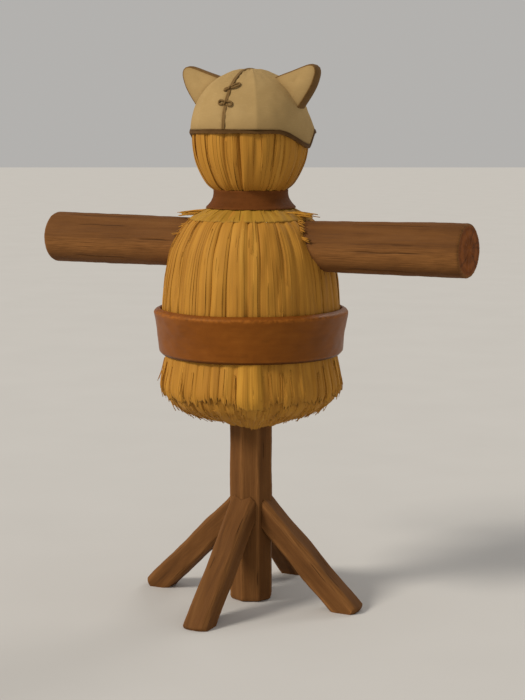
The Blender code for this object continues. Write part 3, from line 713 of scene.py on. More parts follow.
def make_tufts(straw, pale, rng):
    """A small bunch of stalks pokes out over the log on each side, and wisps lie at the arms' roots."""
    t = np.linspace(0, 1, 7)[None, :]
    for name, side, count, longest in (("right", 1, 30, 0.084), ("left", -1, 76, 0.108)):
        reach = rng.uniform(0.45, 1.0, count)[:, None] * longest
        x = 0.148 + reach * t
        y = rng.normal(0.0, 0.016, count)[:, None] + rng.normal(0, 0.12, count)[:, None] * reach * t
        z = 1.270 - 0.12 * (x - 0.148) + rng.uniform(-0.010, 0.004, count)[:, None] + 0.004 * np.sin(2 * t)
        paths = np.stack((side * x, y, np.maximum(z, ARM_Z + ARM_RADIUS - 0.006)), axis=-1)
        loose_stalks(f"straw_tuft_{name}", paths, 0.0020, 90 + side, pale)
        # Wisps that turn out of the torso and lie on the log's front, in a few clumps.
        count = 27 if side > 0 else 9
        around = (rng.choice((0.55, 0.86, 1.22), count) + rng.normal(0, 0.055, count))[:, None]
        start_x = np.interp(ARM_Z + ARM_RADIUS * np.cos(around), [1.10, 1.16, 1.20, 1.24, 1.27],
                            [0.260, 0.248, 0.232, 0.205, 0.162])
        x = start_x - 0.022 + rng.uniform(0.018, 0.036, count)[:, None] * t
        bend = around + 0.20 * t * rng.uniform(0.2, 1.0, count)[:, None]
        lift = ARM_RADIUS + 0.0030 + 0.002 * np.sin(3 * t)
        paths = np.stack((side * x, -lift * np.sin(bend), ARM_Z + lift * np.cos(bend)), axis=-1)
        loose_stalks(f"straw_wisps_{name}", paths, 0.0019, 94 + side, straw)


# ---------------------------------------------------------------- timber


def crack_field(u, s, cracks):
    """Depth from 0 to 1 of long checks: each is (position across, first, last, width, wander)."""
    total = np.zeros(np.broadcast(u, s).shape)
    for k, (where, first, last, width, wander) in enumerate(cracks):
        path = where + wander * (np.sin(s * 23 + k * 1.7) + 0.5 * np.sin(s * 61 + k * 2.9))
        ends = smooth_step(s, first, first + 0.25 * (last - first))
        ends = ends * (1 - smooth_step(s, last - 0.3 * (last - first), last))
        total = np.maximum(total, ends * np.exp(-((u - path) / (width * (0.35 + 0.65 * ends))) ** 2))
    return total


def timber(name, section, length, seed, cracks, rows, rough, chamfer, deep, cut, place=Matrix.Identity(4),
           waist=lambda a, s: 0):
    """A hewn bar along its own Z. section(angle, distance) is its radius and waist what is worn off it,
    cracks run along it, its ends are chamfered, and cut(points) trims it to what it meets."""
    columns = 240
    rng = np.random.default_rng(seed)
    a = np.arange(columns) * TURN / columns
    r0 = section(a, length / 2)
    u = np.cumsum(np.hypot(np.diff(np.append(r0, r0[0])), r0 * TURN / columns))  # distance round
    first, last = chamfer
    inner = np.linspace(first, length - last, rows - 4)
    s = np.concatenate(([0, first * 0.35], inner, [length - last * 0.35, length]))[:, None]
    shrink = np.interp(s, [0, first * 0.35, first, length - last, length - last * 0.35, length],
                       [first * 0.9, first * 0.30, 0, 0, last * 0.30, last * 0.9])
    crack = crack_field(u[None, :], s, cracks)
    marks = ripple(a[None, :], s * 30, seed, 3, 9, 6) + 0.4 * ripple(a[None, :], s * 90, seed + 1, 6, 26, 8)
    marks = rough * (marks + 0.5 * ripple(a[None, :], s * 6, seed + 2, 40, 100, 10))
    chipped = shrink * (0.85 + 0.3 * rng.uniform(0, 1, columns))[None, :]
    r = section(a[None, :], s) - chipped + marks - deep * crack - waist(a[None, :], s)
    points = np.stack(np.broadcast_arrays(r * np.cos(a), r * np.sin(a), s), axis=-1)
    # End faces: rings that close in on the pith.
    caps = []
    for z, sign in ((0, -1), (length, 1)):
        edge = points[0 if sign < 0 else -1]
        centre = edge.mean(axis=0)
        for share in (0.93, 0.7, 0.45, 0.2):
            ring = centre + (edge - centre) * share
            ring[:, 2] = z + sign * (0.0010 * ripple(a, share * 4, seed + 5, 3, 20, 6) + 0.0015 * (1 - share))
            caps.append(ring)
        caps.append(np.array([centre + [0, 0, sign * 0.0015]]))
    body = points.reshape(-1, 3)
    all_points = np.concatenate([body] + caps)
    faces = [grid_faces(len(s), columns, True)]
    k = np.arange(columns)
    n = (k + 1) % columns
    for end in range(2):
        offset = len(body) + end * (4 * columns + 1)
        rings = [0 if end == 0 else (len(s) - 1) * columns] + [offset + j * columns for j in range(4)]
        for p, q in zip(rings, rings[1:]):
            quad = np.stack((p + k, q + k, q + n, p + n), axis=-1)
            faces.append(quad if end == 0 else quad[:, ::-1])
        tip = offset + 4 * columns
        fan = np.stack((rings[-1] + k, np.full(columns, tip), rings[-1] + n), axis=-1)
        faces.append(fan if end == 0 else fan[:, ::-1])
    # What the look reads: grain coordinates, end grain, worn edges and cracks.
    offset = rng.uniform(0, 9)
    grain = np.stack(np.broadcast_arrays(u[None, :] + offset, s, 0 * r), axis=-1)
    sharp = np.clip((r0 - r0.mean()) / max(np.ptp(r0), 1e-6) * 2, 0, 1) if np.ptp(r0) > 0.002 else 0 * r0
    edge_wear = np.maximum(np.broadcast_to(sharp[None, :] ** 2, r.shape), smooth_step(shrink, 0, first * 0.3))
    pith = all_points.copy()
    pith[:, 2] *= 0.15
    end_points = all_points[len(body):]
    tail = len(end_points)
    end_mark = np.concatenate((np.zeros(len(body)), np.ones(tail)))
    flat_grain = np.concatenate((grain.reshape(-1, 3), end_points * 3))
    checks = np.zeros(tail)
    radial = np.arctan2(end_points[:, 1], end_points[:, 0])
    reach = np.hypot(end_points[:, 0], end_points[:, 1]) / r0.mean()
    for angle in rng.uniform(-math.pi, math.pi, 5):
        away = np.abs(np.angle(np.exp(1j * (radial - angle - 0.1 * np.sin(reach * 5)))))
        checks = np.maximum(checks, np.exp(-(away * reach / 0.035) ** 2) * smooth_step(reach, 0.1, 0.5))
    crack_all = np.concatenate((crack.ravel(), checks * 0.8))
    moved = cut(all_points) @ np.array(place.to_3x3()).T + np.array(place.translation)
    obj = build_mesh(name, moved, faces)
    set_values(obj, grain=flat_grain, end=end_mark, edge=np.concatenate((edge_wear.ravel(), np.zeros(tail))),
               crack=crack_all, pith=pith)
    return turn_out(obj)


def flat_section(faces, seed, wander, soft=0.0009):
    """The radius of a hewn section by angle and distance along the bar. faces is a list of (direction,
    distance); where each flat lies wanders a little along the bar, so its edges are never quite straight."""
    def radius(a, s):
        total = 0
        for k, (turn, away) in enumerate(faces):
            shift = np.sin(s * (17 + 5 * (k % 3)) + seed + 2.3 * k) + 0.6 * np.sin(s * 41 + seed * 1.7 + k)
            shift = wander * shift
            facing = np.cos(a - turn)
            reach = np.where(facing > 0.15, (away + shift) / np.maximum(facing, 0.15), 9.0)
            total = total + np.exp(-np.minimum(reach, 0.5) / soft)
        return -soft * np.log(total)
    return radius


def octagon_faces(across):
    return [(TURN * (k + 0.5) / 8, across / 2) for k in range(8)]


def bar_faces(depth, width, corner):
    """Four faces and the four narrower flats where the corners are taken off."""
    d, w = depth / 2, width / 2
    slant = (d + w - corner) / math.sqrt(2)
    return [(0, d), (math.pi / 2, w), (math.pi, d), (-math.pi / 2, w)] + [
        (math.pi / 4 + k * math.pi / 2, slant) for k in range(4)]


def make_post(wood):
    cracks = [(0.05, 0.10, 0.30, 0.0014, 0.0012), (0.409, 0.47, 0.54, 0.0012, 0.0006),
              (0.462, 0.12, 0.26, 0.0015, 0.0010), (0.450, 0.15, 0.23, 0.0012, 0.0008),
              (0.385, 0.05, 0.11, 0.0012, 0.0008), (0.155, 0.28, 0.50, 0.0013, 0.0012)]
    flats = POST_CORNER * 2 * math.cos(math.pi / 8)

    def stand_flat(points):
        return np.maximum(points, (-1, -1, 0))

    post = timber("post_hewn", flat_section(octagon_faces(flats), 3, 0.0006), SHOULDER_Z - 0.0005, 3, cracks,
                  rows=200, rough=0.0005, chamfer=(0.013, 0.003), deep=0.003, cut=stand_flat)
    dress(post, wood, "stand", "post_wood", "post")


def make_braces(wood):
    """Four hewn bars at 45 degrees, fitted round the post's corners and cut flat on the floor."""
    top = 0.034  # the bar starts this far down its middle line from the post's axis
    for k, (name, turn) in enumerate((("right", 0), ("back", 90), ("left", 180), ("front", 270))):
        rng = np.random.default_rng(40 + k)
        cracks = [(rng.uniform(0.0, 0.28), f, f + rng.uniform(0.05, 0.12), 0.0012, 0.0008)
                  for f in rng.uniform(0.08, 0.32, 4)]
        slope = Matrix.Rotation(math.radians(135), 4, "Y")  # local +Z runs out and down
        foot_out = 0.362 if name == "front" else 0.350  # where the bar's middle line meets the floor
        reach = foot_out * math.sqrt(2)
        tip = max(abs(v) for corner_of in (low, high) for v in corner_of(f"brace_{name}")[:2])
        place = (Matrix.Rotation(math.radians(turn), 4, "Z") @ Matrix.Translation((0, 0, foot_out)) @ slope
                 @ Matrix.Translation((0, 0, top)))

        def trim(points, foot_out=foot_out, tip=tip):
            """Ends the bar on the post's corner above and on the floor below, in the bar's own axes."""
            out = (points[:, 2] + top - points[:, 0]) / math.sqrt(2)
            rise = foot_out - (points[:, 2] + top + points[:, 0]) / math.sqrt(2)
            # The post's surface beside its corner falls back by tan(22.5 degrees) of the distance aside.
            face = POST_CORNER + 0.0008 - np.abs(points[:, 1]) * math.tan(math.pi / 8)
            push = np.clip((face - out) * math.sqrt(2), 0, None)
            lift = np.clip(-rise * math.sqrt(2), 0, None)
            fixed = points.copy()
            fixed[:, 2] += push - lift
            # The sharp end is worn away: further out it leans back, and comes off the floor a little.
            out, rise = out + (push - lift) / math.sqrt(2), rise - (push - lift) / math.sqrt(2)
            round_off = 0.009 * np.clip((0.020 - rise) / 0.020, 0, 1) ** 2
            round_off = round_off + 0.012 * np.abs(points[:, 1] / 0.041) ** 3
            over = np.clip(out - (tip - round_off), 0, None)
            fixed[:, 0] += over / math.sqrt(2)
            fixed[:, 2] -= over / math.sqrt(2)
            return fixed

        section = flat_section(bar_faces(0.078, 0.082, 0.011), 60 + k * 7, 0.0014, 0.0014)
        bar = timber(f"brace_{name}_hewn", section, reach - top + 0.052, 60 + k * 7, cracks, rows=110,
                     rough=0.0004, chamfer=(0.004, 0.004), deep=0.0022, cut=trim, place=place)
        dress(bar, wood, "stand", "post_wood", f"brace_{name}")


def make_log(wood):
    """The round log: peeled, a little uneven, with long drying checks and dressed ends."""
    half, r = ARM_HALF, ARM_RADIUS
    # Local Z runs along +X and local X points up, so an angle of 0 is the top and 90 degrees the front.
    cracks = [(math.radians(turn) * r, *rest) for turn, *rest in (
        (54, 0.10, 0.36, 0.0014, 0.0010), (86, 0.35, 0.50, 0.0015, 0.0014), (81, 0.93, 1.02, 0.0014, 0.0010),
        (96, 1.08, 1.40, 0.0016, 0.0012), (80, 1.24, 1.34, 0.0011, 0.0006), (132, 0.10, 0.34, 0.0012, 0.0012),
        (142, 1.05, 1.36, 0.0018, 0.0016), (240, 0.10, 0.50, 0.0020, 0.0018), (276, 1.0, 1.4, 0.0022, 0.0016),
        (28, 1.08, 1.40, 0.0018, 0.0015), (20, 0.06, 0.36, 0.0018, 0.0015), (210, 0.95, 1.2, 0.0018, 0.0012))]

    def section(a, s):
        return r - 0.0016 + 0.0007 * np.cos(2 * a + 0.6 + 3 * s) + 0.0006 * np.cos(3 * a + 2.0 - 2 * s)

    def waist(a, s):
        """The log is a little thinner along its top towards its middle."""
        middle = np.clip(1 - np.abs(s - half) / 0.66, 0, 1)
        return (0.002 + 0.0085 * middle) * ((1 + np.cos(a)) / 2) ** 1.2

    def slant(points):
        """The saw cut at the right end leans: the log is shorter along its front."""
        fixed = points.copy()
        share = smooth_step(points[:, 2], 2 * half - 0.10, 2 * half)
        fixed[:, 2] -= 0.016 * share * (1 + points[:, 1] / r) / 2
        return fixed

    axes = Matrix(((0, 0, 1), (0, -1, 0), (1, 0, 0))).to_4x4()
    place = Matrix.Translation((-half, 0, ARM_Z)) @ axes
    log = timber("crossbar_log", section, 2 * half, 17, cracks, rows=300, rough=0.0006,
                 chamfer=(0.010, 0.006), deep=0.003, cut=slant, place=place, waist=waist)
    dress(log, wood, "stand", "log_wood", "crossbar")


# ---------------------------------------------------------------- leather


BAND_SLIT = 0.0016


def band(name, outline, seed, node, look, slot, edge_at, columns, swell):
    """A leather band round the axis: a closed (height, radius) outline swept round, open by a slit at the
    back. edge_at marks its lighter edges above 0, wear and on the belt a painted highlight, and its dark ones
    below, painted shade."""
    reach = BAND_SLIT / outline[:, 1].max() / 2
    a = np.linspace(-math.pi + reach, math.pi - reach, columns)[:, None]
    z, r = outline[None, :, 0], outline[None, :, 1]
    outer = (outline[:, 1] > outline[:, 1].mean())[None, :]
    wave = swell * ripple(a, z * 25, seed, 2, 6, 6) + 0.0005 * ripple(a, z * 60, seed + 1, 10, 40, 8)
    r = r + wave * outer
    obj = sweep(name, round_axis(r, a, z + 0.0012 * ripple(a, z * 0, seed + 2, 2, 5, 4)))
    edge = np.broadcast_to(edge_at(outline[:, 0], outline[:, 1])[None, :], r.shape)
    crease = smooth_step(ripple(a, z * 70, seed + 3, 4, 22, 10), 0.9, 1.5) * outer * 0.2
    # Below 0, edge_at gives painted shade, laid on together with the darkened folds.
    set_values(obj, edge=np.clip(edge, 0, 1).ravel(), crease=np.maximum(crease, -edge).ravel())
    turn_out(obj)
    obj.data.set_sharp_from_angle(angle=math.radians(50))
    dress(obj, look, "stand", slot, node)


def rounded_loop(corners, radius, steps=5):
    """A closed outline with its corners rounded: corners is a list of (height, radius) points."""
    corners = [np.array(p, float) for p in corners]
    out = []
    for k, p in enumerate(corners):
        before, after = corners[k - 1], corners[(k + 1) % len(corners)]
        one, two = before - p, after - p
        size = min(radius, 0.45 * np.linalg.norm(one), 0.45 * np.linalg.norm(two))
        a, b = p + one / np.linalg.norm(one) * size, p + two / np.linalg.norm(two) * size
        for t in np.linspace(0, 1, steps):
            out.append((1 - t) ** 2 * a + 2 * t * (1 - t) * p + t * t * b)
    return np.array(out)


def dense(outline, spacing):
    """A closed outline with points added so that none are further apart than spacing."""
    out = []
    for p, q in zip(outline, np.roll(outline, -1, axis=0)):
        count = max(1, int(np.ceil(np.linalg.norm(q - p) / spacing)))
        out += [p + (q - p) * k / count for k in range(count)]
    return np.array(out)


def make_belt(look):
    line = ((0.8165, 0.2855), (0.8260, 0.2952), (0.8340, 0.2968), (0.8950, 0.3042), (0.9440, 0.3112),
            (0.9540, 0.3122), (0.9605, 0.3075), (BELT_HIGH, 0.2945), (0.9620, 0.2905), (0.9000, 0.2880),
            (0.8300, 0.2830), (0.8190, 0.2815))
    outline = dense(rounded_loop(line, 0.0045), 0.006)

    def wear_and_painted_light(z, r):
        # A painted highlight along the top lip and a painted light line above the lower bevel; the bevel
        # underneath gets painted shade.
        top = smooth_step(z, 0.945, 0.953) * (1 - smooth_step(z, 0.956, 0.962)) * (r > 0.2855)
        return top + 0.5 * np.exp(-((z - 0.8285) / 0.0016) ** 2) - 0.95 * (1 - smooth_step(z, 0.8215, 0.8265))

    band("belt_leather", outline, 5, "belt", look, "belt_leather", wear_and_painted_light, columns=360, swell=0.0012)


def make_collar(look):
    line = ((COLLAR_LOW, 0.1449), (0.5 * (1.2936 + COLLAR_LOW) + 0.001, 0.1415), (1.2945, 0.1360),
            (1.305, 0.1277), (1.3165, 0.1217), (1.330, 0.1192), (COLLAR_HIGH, 0.1196), (COLLAR_HIGH, 0.1146),
            (1.330, 0.1142), (1.3165, 0.1165), (1.305, 0.1225), (1.2945, 0.1310), (COLLAR_LOW, 0.1395))
    outline = dense(rounded_loop(line, 0.0022, 4), 0.004)

    def wear_and_painted_light(z, r):
        return np.maximum(1 - smooth_step(z, COLLAR_LOW, COLLAR_LOW + 0.004),
                          smooth_step(z, COLLAR_HIGH - 0.004, COLLAR_HIGH))

    band("neck_collar_leather", outline, 9, "neck_collar", look, "collar_leather", wear_and_painted_light, columns=240,
         swell=0.0005)


def make_tabs(belt_look, collar_look):
    """The tabs over the butted ends at the back, with a stitched border, follow their bands."""
    for name, look, slot, half in (("belt_tab", belt_look, "belt_leather", 0.0555),
                                   ("neck_collar_tab", collar_look, "collar_leather", 0.030)):
        z0, z1 = low(name).z, high(name).z
        points = np.array([v.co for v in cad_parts[name].data.vertices])
        radius = np.hypot(points[:, 0], points[:, 1])
        heights = np.unique(np.round(points[:, 2], 4))
        far = np.array([radius[np.abs(points[:, 2] - h) < 2e-4].max() for h in heights])
        v = np.linspace(-1, 1, 26)[:, None]
        u = np.linspace(-1, 1, 44)[None, :]
        # A rectangle with rounded corners.
        squeeze = 1 - 0.10 * np.clip((np.abs(v) - 0.72) / 0.28, 0, 1) ** 2
        z = (z0 + z1) / 2 + v * (z1 - z0) / 2 * (1 - 0.06 * np.clip((np.abs(u) - 0.8) / 0.2, 0, 1) ** 2)
        base = np.interp(z, heights, far)
        angle = math.pi + u * squeeze * half / base
        rim = np.maximum(np.abs(u) ** 6, np.abs(v) ** 6)
        away = 1 - np.maximum(np.abs(u), np.abs(v))
        stitch = np.exp(-((away - 0.13) / 0.03) ** 2)
        face = base - 0.0012 * rim - 0.0007 * stitch + 0.0004 * ripple(angle, z * 60, 8, 8, 40, 6)
        obj = shell(f"{name}_leather", round_axis(face, angle, z), round_axis(base - 0.0042, angle, z))
        set_values(obj, edge=np.concatenate((rim.ravel(), rim.ravel())),
                   crease=np.concatenate((stitch.ravel() * 0.8, stitch.ravel() * 0)))
        turn_out(obj)
        obj.data.set_sharp_from_angle(angle=math.radians(55))
        dress(obj, look, "stand", slot, name)


# ---------------------------------------------------------------- cap


def hem_dip(angle):
    """How far the hem dips below its front edge: deepest at the side flaps, which end in a step behind."""
    turn = np.angle(np.exp(1j * angle))
    beyond = np.abs(turn) - FLAP_ANGLE
    half = np.where(beyond > 0, FLAP_BACK_HALF, np.where(turn < 0, FLAP_LEFT_HALF, FLAP_HALF))
    away = np.clip(np.abs(beyond) / half, 0, 1)
    return FLAP_DROP * 0.5 * (1 + np.cos(np.pi * away))


def cap_radius(angle, z):
    """The cap's outside by angle and height: a dome with soft ridges between its gores, straight below."""
    rise = z - HEAD_CENTRE
    dome = np.sqrt(np.clip(CAP_RADIUS ** 2 - np.clip(rise, 0.02, None) ** 2, 0, None))
    skirt = CAP_RADIUS + 0.004 * np.clip((0.02 - rise) / 0.03, 0, 1) - 0.0010
    behind = smooth_step(np.abs(np.angle(np.exp(1j * angle))), FLARE_FROM, FLARE_TO)
    return np.where(rise > 0.02, dome, skirt) + behind * back_flare(z)


def back_flare(z):
    """How far the cap stands off the head behind, by height."""
    return 0.014 * np.clip((HEAD_CENTRE + 0.055 - z) / 0.06, 0, 1)


def cap_detail(angle, up):
    """Relief of the canvas: a ridge where the gores fold, a fold along the middle seam, soft wrinkles."""
    a = np.angle(np.exp(1j * angle))
    ridge = sum(0.0058 * np.exp(-np.abs(a - m) / 0.17) for m in np.radians((-148, -32, 32, 148)))
    middle = np.minimum(np.abs(a), np.pi - np.abs(a)) * np.cos(up)
    fold = -0.0016 * np.exp(-(middle * CAP_RADIUS / 0.007) ** 2)
    pucker = 0.0010 * np.cos(up * 46) * np.exp(-(middle * CAP_RADIUS / 0.020) ** 2)
    soft = 0.0016 * ripple(a, up * 3, 14, 2, 5, 5) + 0.0005 * ripple(a, up * 9, 15, 8, 24, 8)
    fade = np.clip(np.cos(up) * 3, 0, 1)
    return ridge * fade + fold + pucker + soft * fade + 0.0004


def make_cap_halves(canvas):
    """Two sewn halves of canvas, left and right, each a closed shell a few millimetres thick."""
    rows, columns = 62, 150
    for name, side in (("cap_left", -1), ("cap_right", 1)):
        a = side * np.linspace(0.002, math.pi - 0.002, columns)[None, :]
        t = np.linspace(0, 1, rows)[:, None]
        hem = HEAD_CENTRE + 0.001 - hem_dip(a)
        first = np.arcsin(np.clip((hem - HEAD_CENTRE) / CAP_RADIUS, -0.4, 0.4))
        up = first + (math.radians(89.2) - first) * t
        z = HEAD_CENTRE + CAP_RADIUS * np.sin(up)
        z = np.where(up < 0, HEAD_CENTRE + (hem - HEAD_CENTRE) * (up / np.where(first < 0, first, -1)), z)
        lean = np.clip(up, 0, None)
        skins = [round_axis(cap_radius(a, z) + d * np.cos(lean), a, z + d * np.sin(lean))
                 for d in (cap_detail(a, up), cap_detail(a, up) - CANVAS_THICK)]
        obj = shell(f"{name}_canvas", *skins)
        weave = np.stack(np.broadcast_arrays(a * 0.19, up * 0.19, 0 * up * a), axis=-1)
        weave = np.concatenate((weave.reshape(-1, 3),) * 2)
        by_hem = np.exp(-(z - hem) / 0.016)
        by_seam = np.exp(-np.minimum(np.abs(a), np.pi - np.abs(a)) * np.cos(up) * 0.19 / 0.010) * 0.8
        # Darker near the hem and the middle seam, with an uneven tone over all; the inside skin is painted
        # fully dark, painted shade.
        dirt = np.clip(np.maximum(by_hem, by_seam) * 0.8 + 0.09 * (1.8 + ripple(a, up * 4, 31, 2, 9, 8)), 0, 1)
        set_values(obj, weave=weave, dirt=np.concatenate((dirt.ravel(), np.ones(rows * columns))))
        turn_out(obj)
        dress(obj, canvas, "cap", "canvas", name)


def make_binding(look):
    """The folded strip along the hem: rounded, a little uneven, following the dips at the flaps."""
    columns = 420
    a = np.linspace(0, TURN, columns, endpoint=False)[:, None]
    section = dense(rounded_loop(((0.0, -0.0056), (0.0, 0.0020), (-HEM_TALL, 0.0024), (-HEM_TALL, -0.0056)),
                                 0.0028, 5), 0.003)
    fall, out = section[None, :, 0], section[None, :, 1]
    top = HEAD_CENTRE + 0.0026 - hem_dip(a)
    z = top + fall * (1 + 0.06 * ripple(a, 0, 12, 3, 12, 6))
    r = cap_radius(a, z) + out + 0.0005 * ripple(a, fall * 90, 13, 6, 30, 8) * (out > 0)
    n = len(section)
    obj = build_mesh("cap_binding_strip", round_axis(r, a, z).reshape(-1, 3),
                     [grid_faces(columns + 1, n, True) % (columns * n)])
    edge = np.broadcast_to(np.exp(-((section[:, 0] + HEM_TALL) / 0.003) ** 2)[None, :], r.shape)
    stitched = np.exp(-((section[:, 0] + 0.0035) / 0.0009) ** 2) * (section[:, 1] > 0.001)
    crease = np.broadcast_to(stitched[None, :], r.shape)
    set_values(obj, edge=edge.ravel() * 0.8, crease=crease.ravel())
    turn_out(obj)
    dress(obj, look, "cap", "binding", "cap_binding")


def over_cap(across, up, lift):
    """Points over the cap's front, by angles across and up in degrees and a lift off the canvas."""
    a, b = np.radians(across), np.radians(up)
    z = HEAD_CENTRE + (CAP_RADIUS + lift) * np.sin(b)
    r = (CAP_RADIUS + lift) * np.cos(b)
    r = np.where(z < HEAD_CENTRE + 0.02, np.maximum(r, cap_radius(a, z) + lift), r)
    return round_axis(r, a, z)


def make_seam(look):
    """The leather strip along the middle seam and two knotted cross stitches at the front."""
    up = np.concatenate((np.linspace(0.6, 90, 90), np.linspace(90, 0.6, 90)[1:]))
    back = np.arange(len(up)) >= 90
    width = 0.0125 * (1 - 0.25 * up / 90)
    across = np.linspace(-1, 1, 9)
    lift = 0.0012 + 0.0026 * np.sqrt(np.clip(1 - np.abs(across) ** 3, 0, 1))
    wobble = 0.0006 * ripple(np.radians(up) * 2, 0, 3, 3, 14, 8)
    top, under = [], []
    for k in range(len(up)):
        for store, lifts in ((top, lift), (under, np.full(9, 0.0003))):
            row = over_cap(np.zeros(9), np.full(9, up[k]), lifts)
            row[:, 0] = across * width[k] / 2 + wobble[k]
            if back[k]:
                row[:, 1] = -row[:, 1] + back_flare(row[:, 2])
            store.append(row)
    obj = sweep("cap_seam_leather", np.concatenate((np.array(top), np.array(under)[:, ::-1]), axis=1))
    side = np.concatenate((np.abs(across) ** 4, np.ones(9)))
    middle = np.concatenate((np.exp(-(across / 0.16) ** 2) * 0.7, np.zeros(9)))
    set_values(obj, edge=np.tile(side, len(up)), crease=np.tile(middle, len(up)))
    turn_out(obj)
    dress(obj, look, "cap", "binding", "cap_seam_strip")
    # Each stitch is a bow: two loops of thong, (reach, half height, lean) in degrees, held by a wrap.
    for name, middle, loops in (("lower", 25.0, ((-7.6, 2.1, 0.8), (7.4, 2.1, -1.2))),
                                ("upper", 41.0, ((-6.0, 1.0, -2.0), (12.0, 2.1, 5.0)))):
        paths = []
        for reach, tall, lean in loops:
            t = np.linspace(0.03, 0.97, 46)
            out = np.sin(t * np.pi) ** 0.75
            side = np.abs(np.sin(out * np.pi * 0.62 + 0.15)) * np.abs(np.cos(t * np.pi)) ** 0.4
            side = tall * np.sign(0.5 - t) * side
            paths.append(over_cap(reach * out, middle + side + lean * out, 0.0050 + 0.0010 * np.sin(9 * t)))
        u = np.linspace(-1, 1, 14)
        paths.append(over_cap(0.6 * u, middle + 1.9 * u, 0.0078 - 0.0042 * u ** 4))
        cord_tube(f"cap_stitch_{name}_cord", paths, 0.0030, look, f"cap_stitch_{name}")


def cord_tube(name, paths, radius, look, node):
    """Twisted cords along paths, each a closed tube with two plies showing."""
    sides = 10
    a = np.arange(sides) * TURN / sides
    points, faces, ply, start = [], [], [], 0
    for path in paths:
        ahead = unit(np.gradient(path, axis=0))
        side = unit(np.cross(ahead, unit(path)))
        other = np.cross(side, ahead)
        along = length_along(path)
        twist = a[None, :] + along[:, None] / radius * 0.9
        size = radius * (1 + 0.16 * np.abs(np.cos(twist)))[:, :, None]
        ends = np.clip(np.minimum(along, along[-1] - along) / radius, 0.35, 1)[:, None, None]
        way = np.cos(a)[None, :, None] * side[:, None] + np.sin(a)[None, :, None] * other[:, None]
        points.append((path[:, None] + size * ends * way).reshape(-1, 3))
        faces.append(grid_faces(len(path), sides, True) + start)
        first = start + np.arange(sides)[None, :]
        faces += [first[:, ::-1], first + (len(path) - 1) * sides]
        ply.append(1 - np.abs(np.cos(twist)).ravel())
        start += len(path) * sides
    obj = build_mesh(name, np.concatenate(points), faces)
    set_values(obj, edge=np.zeros(start), crease=np.concatenate(ply) ** 3 * 0.8)
    dress(turn_out(obj), look, "cap", "cord", node)


# (x, z) of the ear seen from the front, from its inner root over the tip to its outer root
EAR_LINE = ((0.066, 1.672), (0.104, 1.6925), (0.150, 1.7085), (0.190, 1.7225), (0.212, 1.7280),
            (0.2270, 1.7235), (0.2320, 1.7095), (0.2285, 1.6910), (0.2190, 1.6665), (0.2040, 1.6410),
            (0.1850, 1.6140), (0.1660, 1.5880))
# How much of the outline each ring of an ear's face keeps, how plump it is there, and how much darker it is
# painted
EAR_RINGS = ((1.0, 0.0, 1.0), (0.965, 0.0008, 0.7), (0.9, 0.0018, 0.4), (0.78, 0.0034, 0.15),
             (0.6, 0.0052, 0.05), (0.4, 0.0064, 0.0), (0.2, 0.0070, 0.0))


def make_ears(canvas, binding):
    """Stuffed ears: two plump canvas faces with a leather gusset round their edge."""
    for name, side in (("right", 1), ("left", -1)):
        steps = 40
        rim = curve_through(EAR_LINE, steps)
        middle = np.array([0.160, 1.668])
        tip = np.exp(-((np.arange(steps) - 16) / 9.0) ** 2)
        half = 0.0265 - 0.0075 * tip
        rings = []
        for share, plump, _ in EAR_RINGS[::-1] + EAR_RINGS:
            ring = middle + (rim - middle) * share
            face = 1 if len(rings) >= len(EAR_RINGS) else -1
            rings.append(np.stack((side * ring[:, 0], face * (half + plump), ring[:, 1]), axis=-1))
        # The rings run from the middle of the front face over the rim to the middle of the back face.
        obj = sweep(f"ear_{name}_canvas", np.array(rings))
        points = np.concatenate(rings)
        depth = np.repeat([ring_darkening for _, _, ring_darkening in EAR_RINGS[::-1] + EAR_RINGS], steps)
        inside = np.linalg.norm(points - np.array([0, 0, HEAD_CENTRE]), axis=1)
        root = np.exp(-np.clip(inside - CAP_RADIUS, 0, None) / 0.008)
        # Darker towards the rim and the root at the cap, and painted darker all over: painted shade.
        set_values(obj, weave=points[:, [0, 2, 1]], dirt=np.clip(depth * 0.7 + root * 0.8 + 0.20, 0, 1))
        turn_out(obj)
        dress(obj, canvas, "cap", "canvas", f"ear_{name}")
        make_gusset(name, side, rim, half, binding)


def make_gusset(name, side, rim, half, look):
    """The leather strip round an ear's edge, its two long edges rolled over the canvas."""
    steps = len(rim)
    ahead = unit(np.gradient(rim, axis=0))
    outward = np.stack((-ahead[:, 1], ahead[:, 0]), axis=1)
    across = np.linspace(-1, 1, 21)
    crown = 0.0030 * (1 - across ** 2) + 0.0018 - 0.0026 * np.clip(np.abs(across) - 0.9, 0, 1) / 0.1
    rows = []
    for lift, wide in ((crown, 1.035), (np.full_like(across, -0.0015), 0.98)):
        ring = rim[:, None, :] + outward[:, None, :] * lift[None, :, None]
        y = across[None, :] * half[:, None] * wide
        rows.append(np.stack((side * ring[..., 0], y, ring[..., 1]), axis=-1))
    obj = sweep(f"ear_{name}_gusset_leather", np.concatenate((rows[0], rows[1][:, ::-1]), axis=1))
    edge = np.concatenate((np.abs(across) ** 8, np.ones(21)))
    crease = np.concatenate((np.exp(-((np.abs(across) - 0.86) / 0.035) ** 2), np.zeros(21)))
    set_values(obj, edge=np.tile(edge, steps) * 0.7, crease=np.tile(crease, steps) * 0.7)
    turn_out(obj)
    dress(obj, look, "cap", "binding", f"ear_{name}_gusset")


# ---------------------------------------------------------------- CAD pieces that show as they are


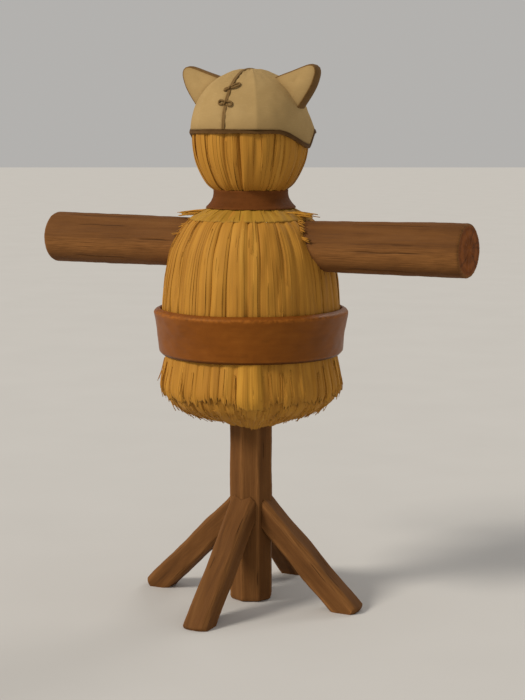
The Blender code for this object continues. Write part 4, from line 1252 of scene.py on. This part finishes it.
def finish_small_pieces():
    peg = plain_look("peg_wood", ((0.20, 0.115, 0.055), (0.36, 0.23, 0.12)), (60, 60, 60), 0.7)
    twine = plain_look("twine", ((0.20, 0.13, 0.06), (0.36, 0.26, 0.14)), (300, 300, 900), 0.9)
    iron = plain_look("rivet_iron", ((0.035, 0.028, 0.024), (0.12, 0.095, 0.075)), (220, 220, 220), 0.5, 0.85)
    wad = plain_look("packed_straw", ((0.22, 0.12, 0.03), (0.45, 0.28, 0.08)), (240, 240, 40), 0.85,
                     depth=0.002)
    for word, look in (("peg", peg), ("trenail", peg), ("tie", twine), ("rivet", iron), ("head_core", wad)):
        for node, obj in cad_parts.items():
            if word in node:
                obj.data.materials.clear()
                obj.data.materials.append(look)


# ---------------------------------------------------------------- the scene

make_stage()
straw = straw_look("straw", dark=0.88)
shaded_straw = straw_look("straw_under", dark=0.84)
# The ruff's straw is greener, and it is painted darker: painted shade under the collar.
green_shaded_straw = straw_look("straw_ruff", warm=1.13, dark=0.80)
# A paler copy of the straw for the front lock and the tufts: partly their own colour, partly painted light.
pale_and_lit_straw = straw_look("straw_pale", warm=1.06, dark=1.04)
post_wood = wood_look("post_wood", (0.070, 0.027, 0.0068), (0.142, 0.057, 0.0145), (0.220, 0.098, 0.029))
log_wood = wood_look("log_wood", (0.068, 0.0250, 0.0065), (0.142, 0.056, 0.0136), (0.216, 0.093, 0.026))
belt_leather = leather_look("belt_leather", 0.44, (0.112, 0.0315, 0.0037), (0.196, 0.0565, 0.0063),
                            (0.268, 0.086, 0.0106), shine=0.36)
collar_leather = leather_look("collar_leather", 0.72, (0.072, 0.0225, 0.0050), (0.128, 0.0405, 0.0098),
                              (0.178, 0.060, 0.0148))
binding_leather = leather_look("binding_leather", 0.72, (0.055, 0.026, 0.009), (0.100, 0.050, 0.017),
                               (0.150, 0.082, 0.032))
thong_leather = leather_look("thong_leather", 0.75, (0.118, 0.066, 0.023), (0.215, 0.127, 0.048),
                             (0.290, 0.184, 0.080))
gusset_leather = leather_look("gusset_leather", 0.75, (0.085, 0.041, 0.012), (0.158, 0.084, 0.027),
                              (0.225, 0.128, 0.048))
canvas = canvas_look()

make_post(post_wood)
make_braces(post_wood)
make_log(log_wood)
make_straw(straw, shaded_straw, green_shaded_straw, pale_and_lit_straw)
make_belt(belt_leather)
make_collar(collar_leather)
make_tabs(belt_leather, collar_leather)
make_cap_halves(canvas)
make_binding(binding_leather)
make_seam(thong_leather)
make_ears(canvas, gusset_leather)
finish_small_pieces()
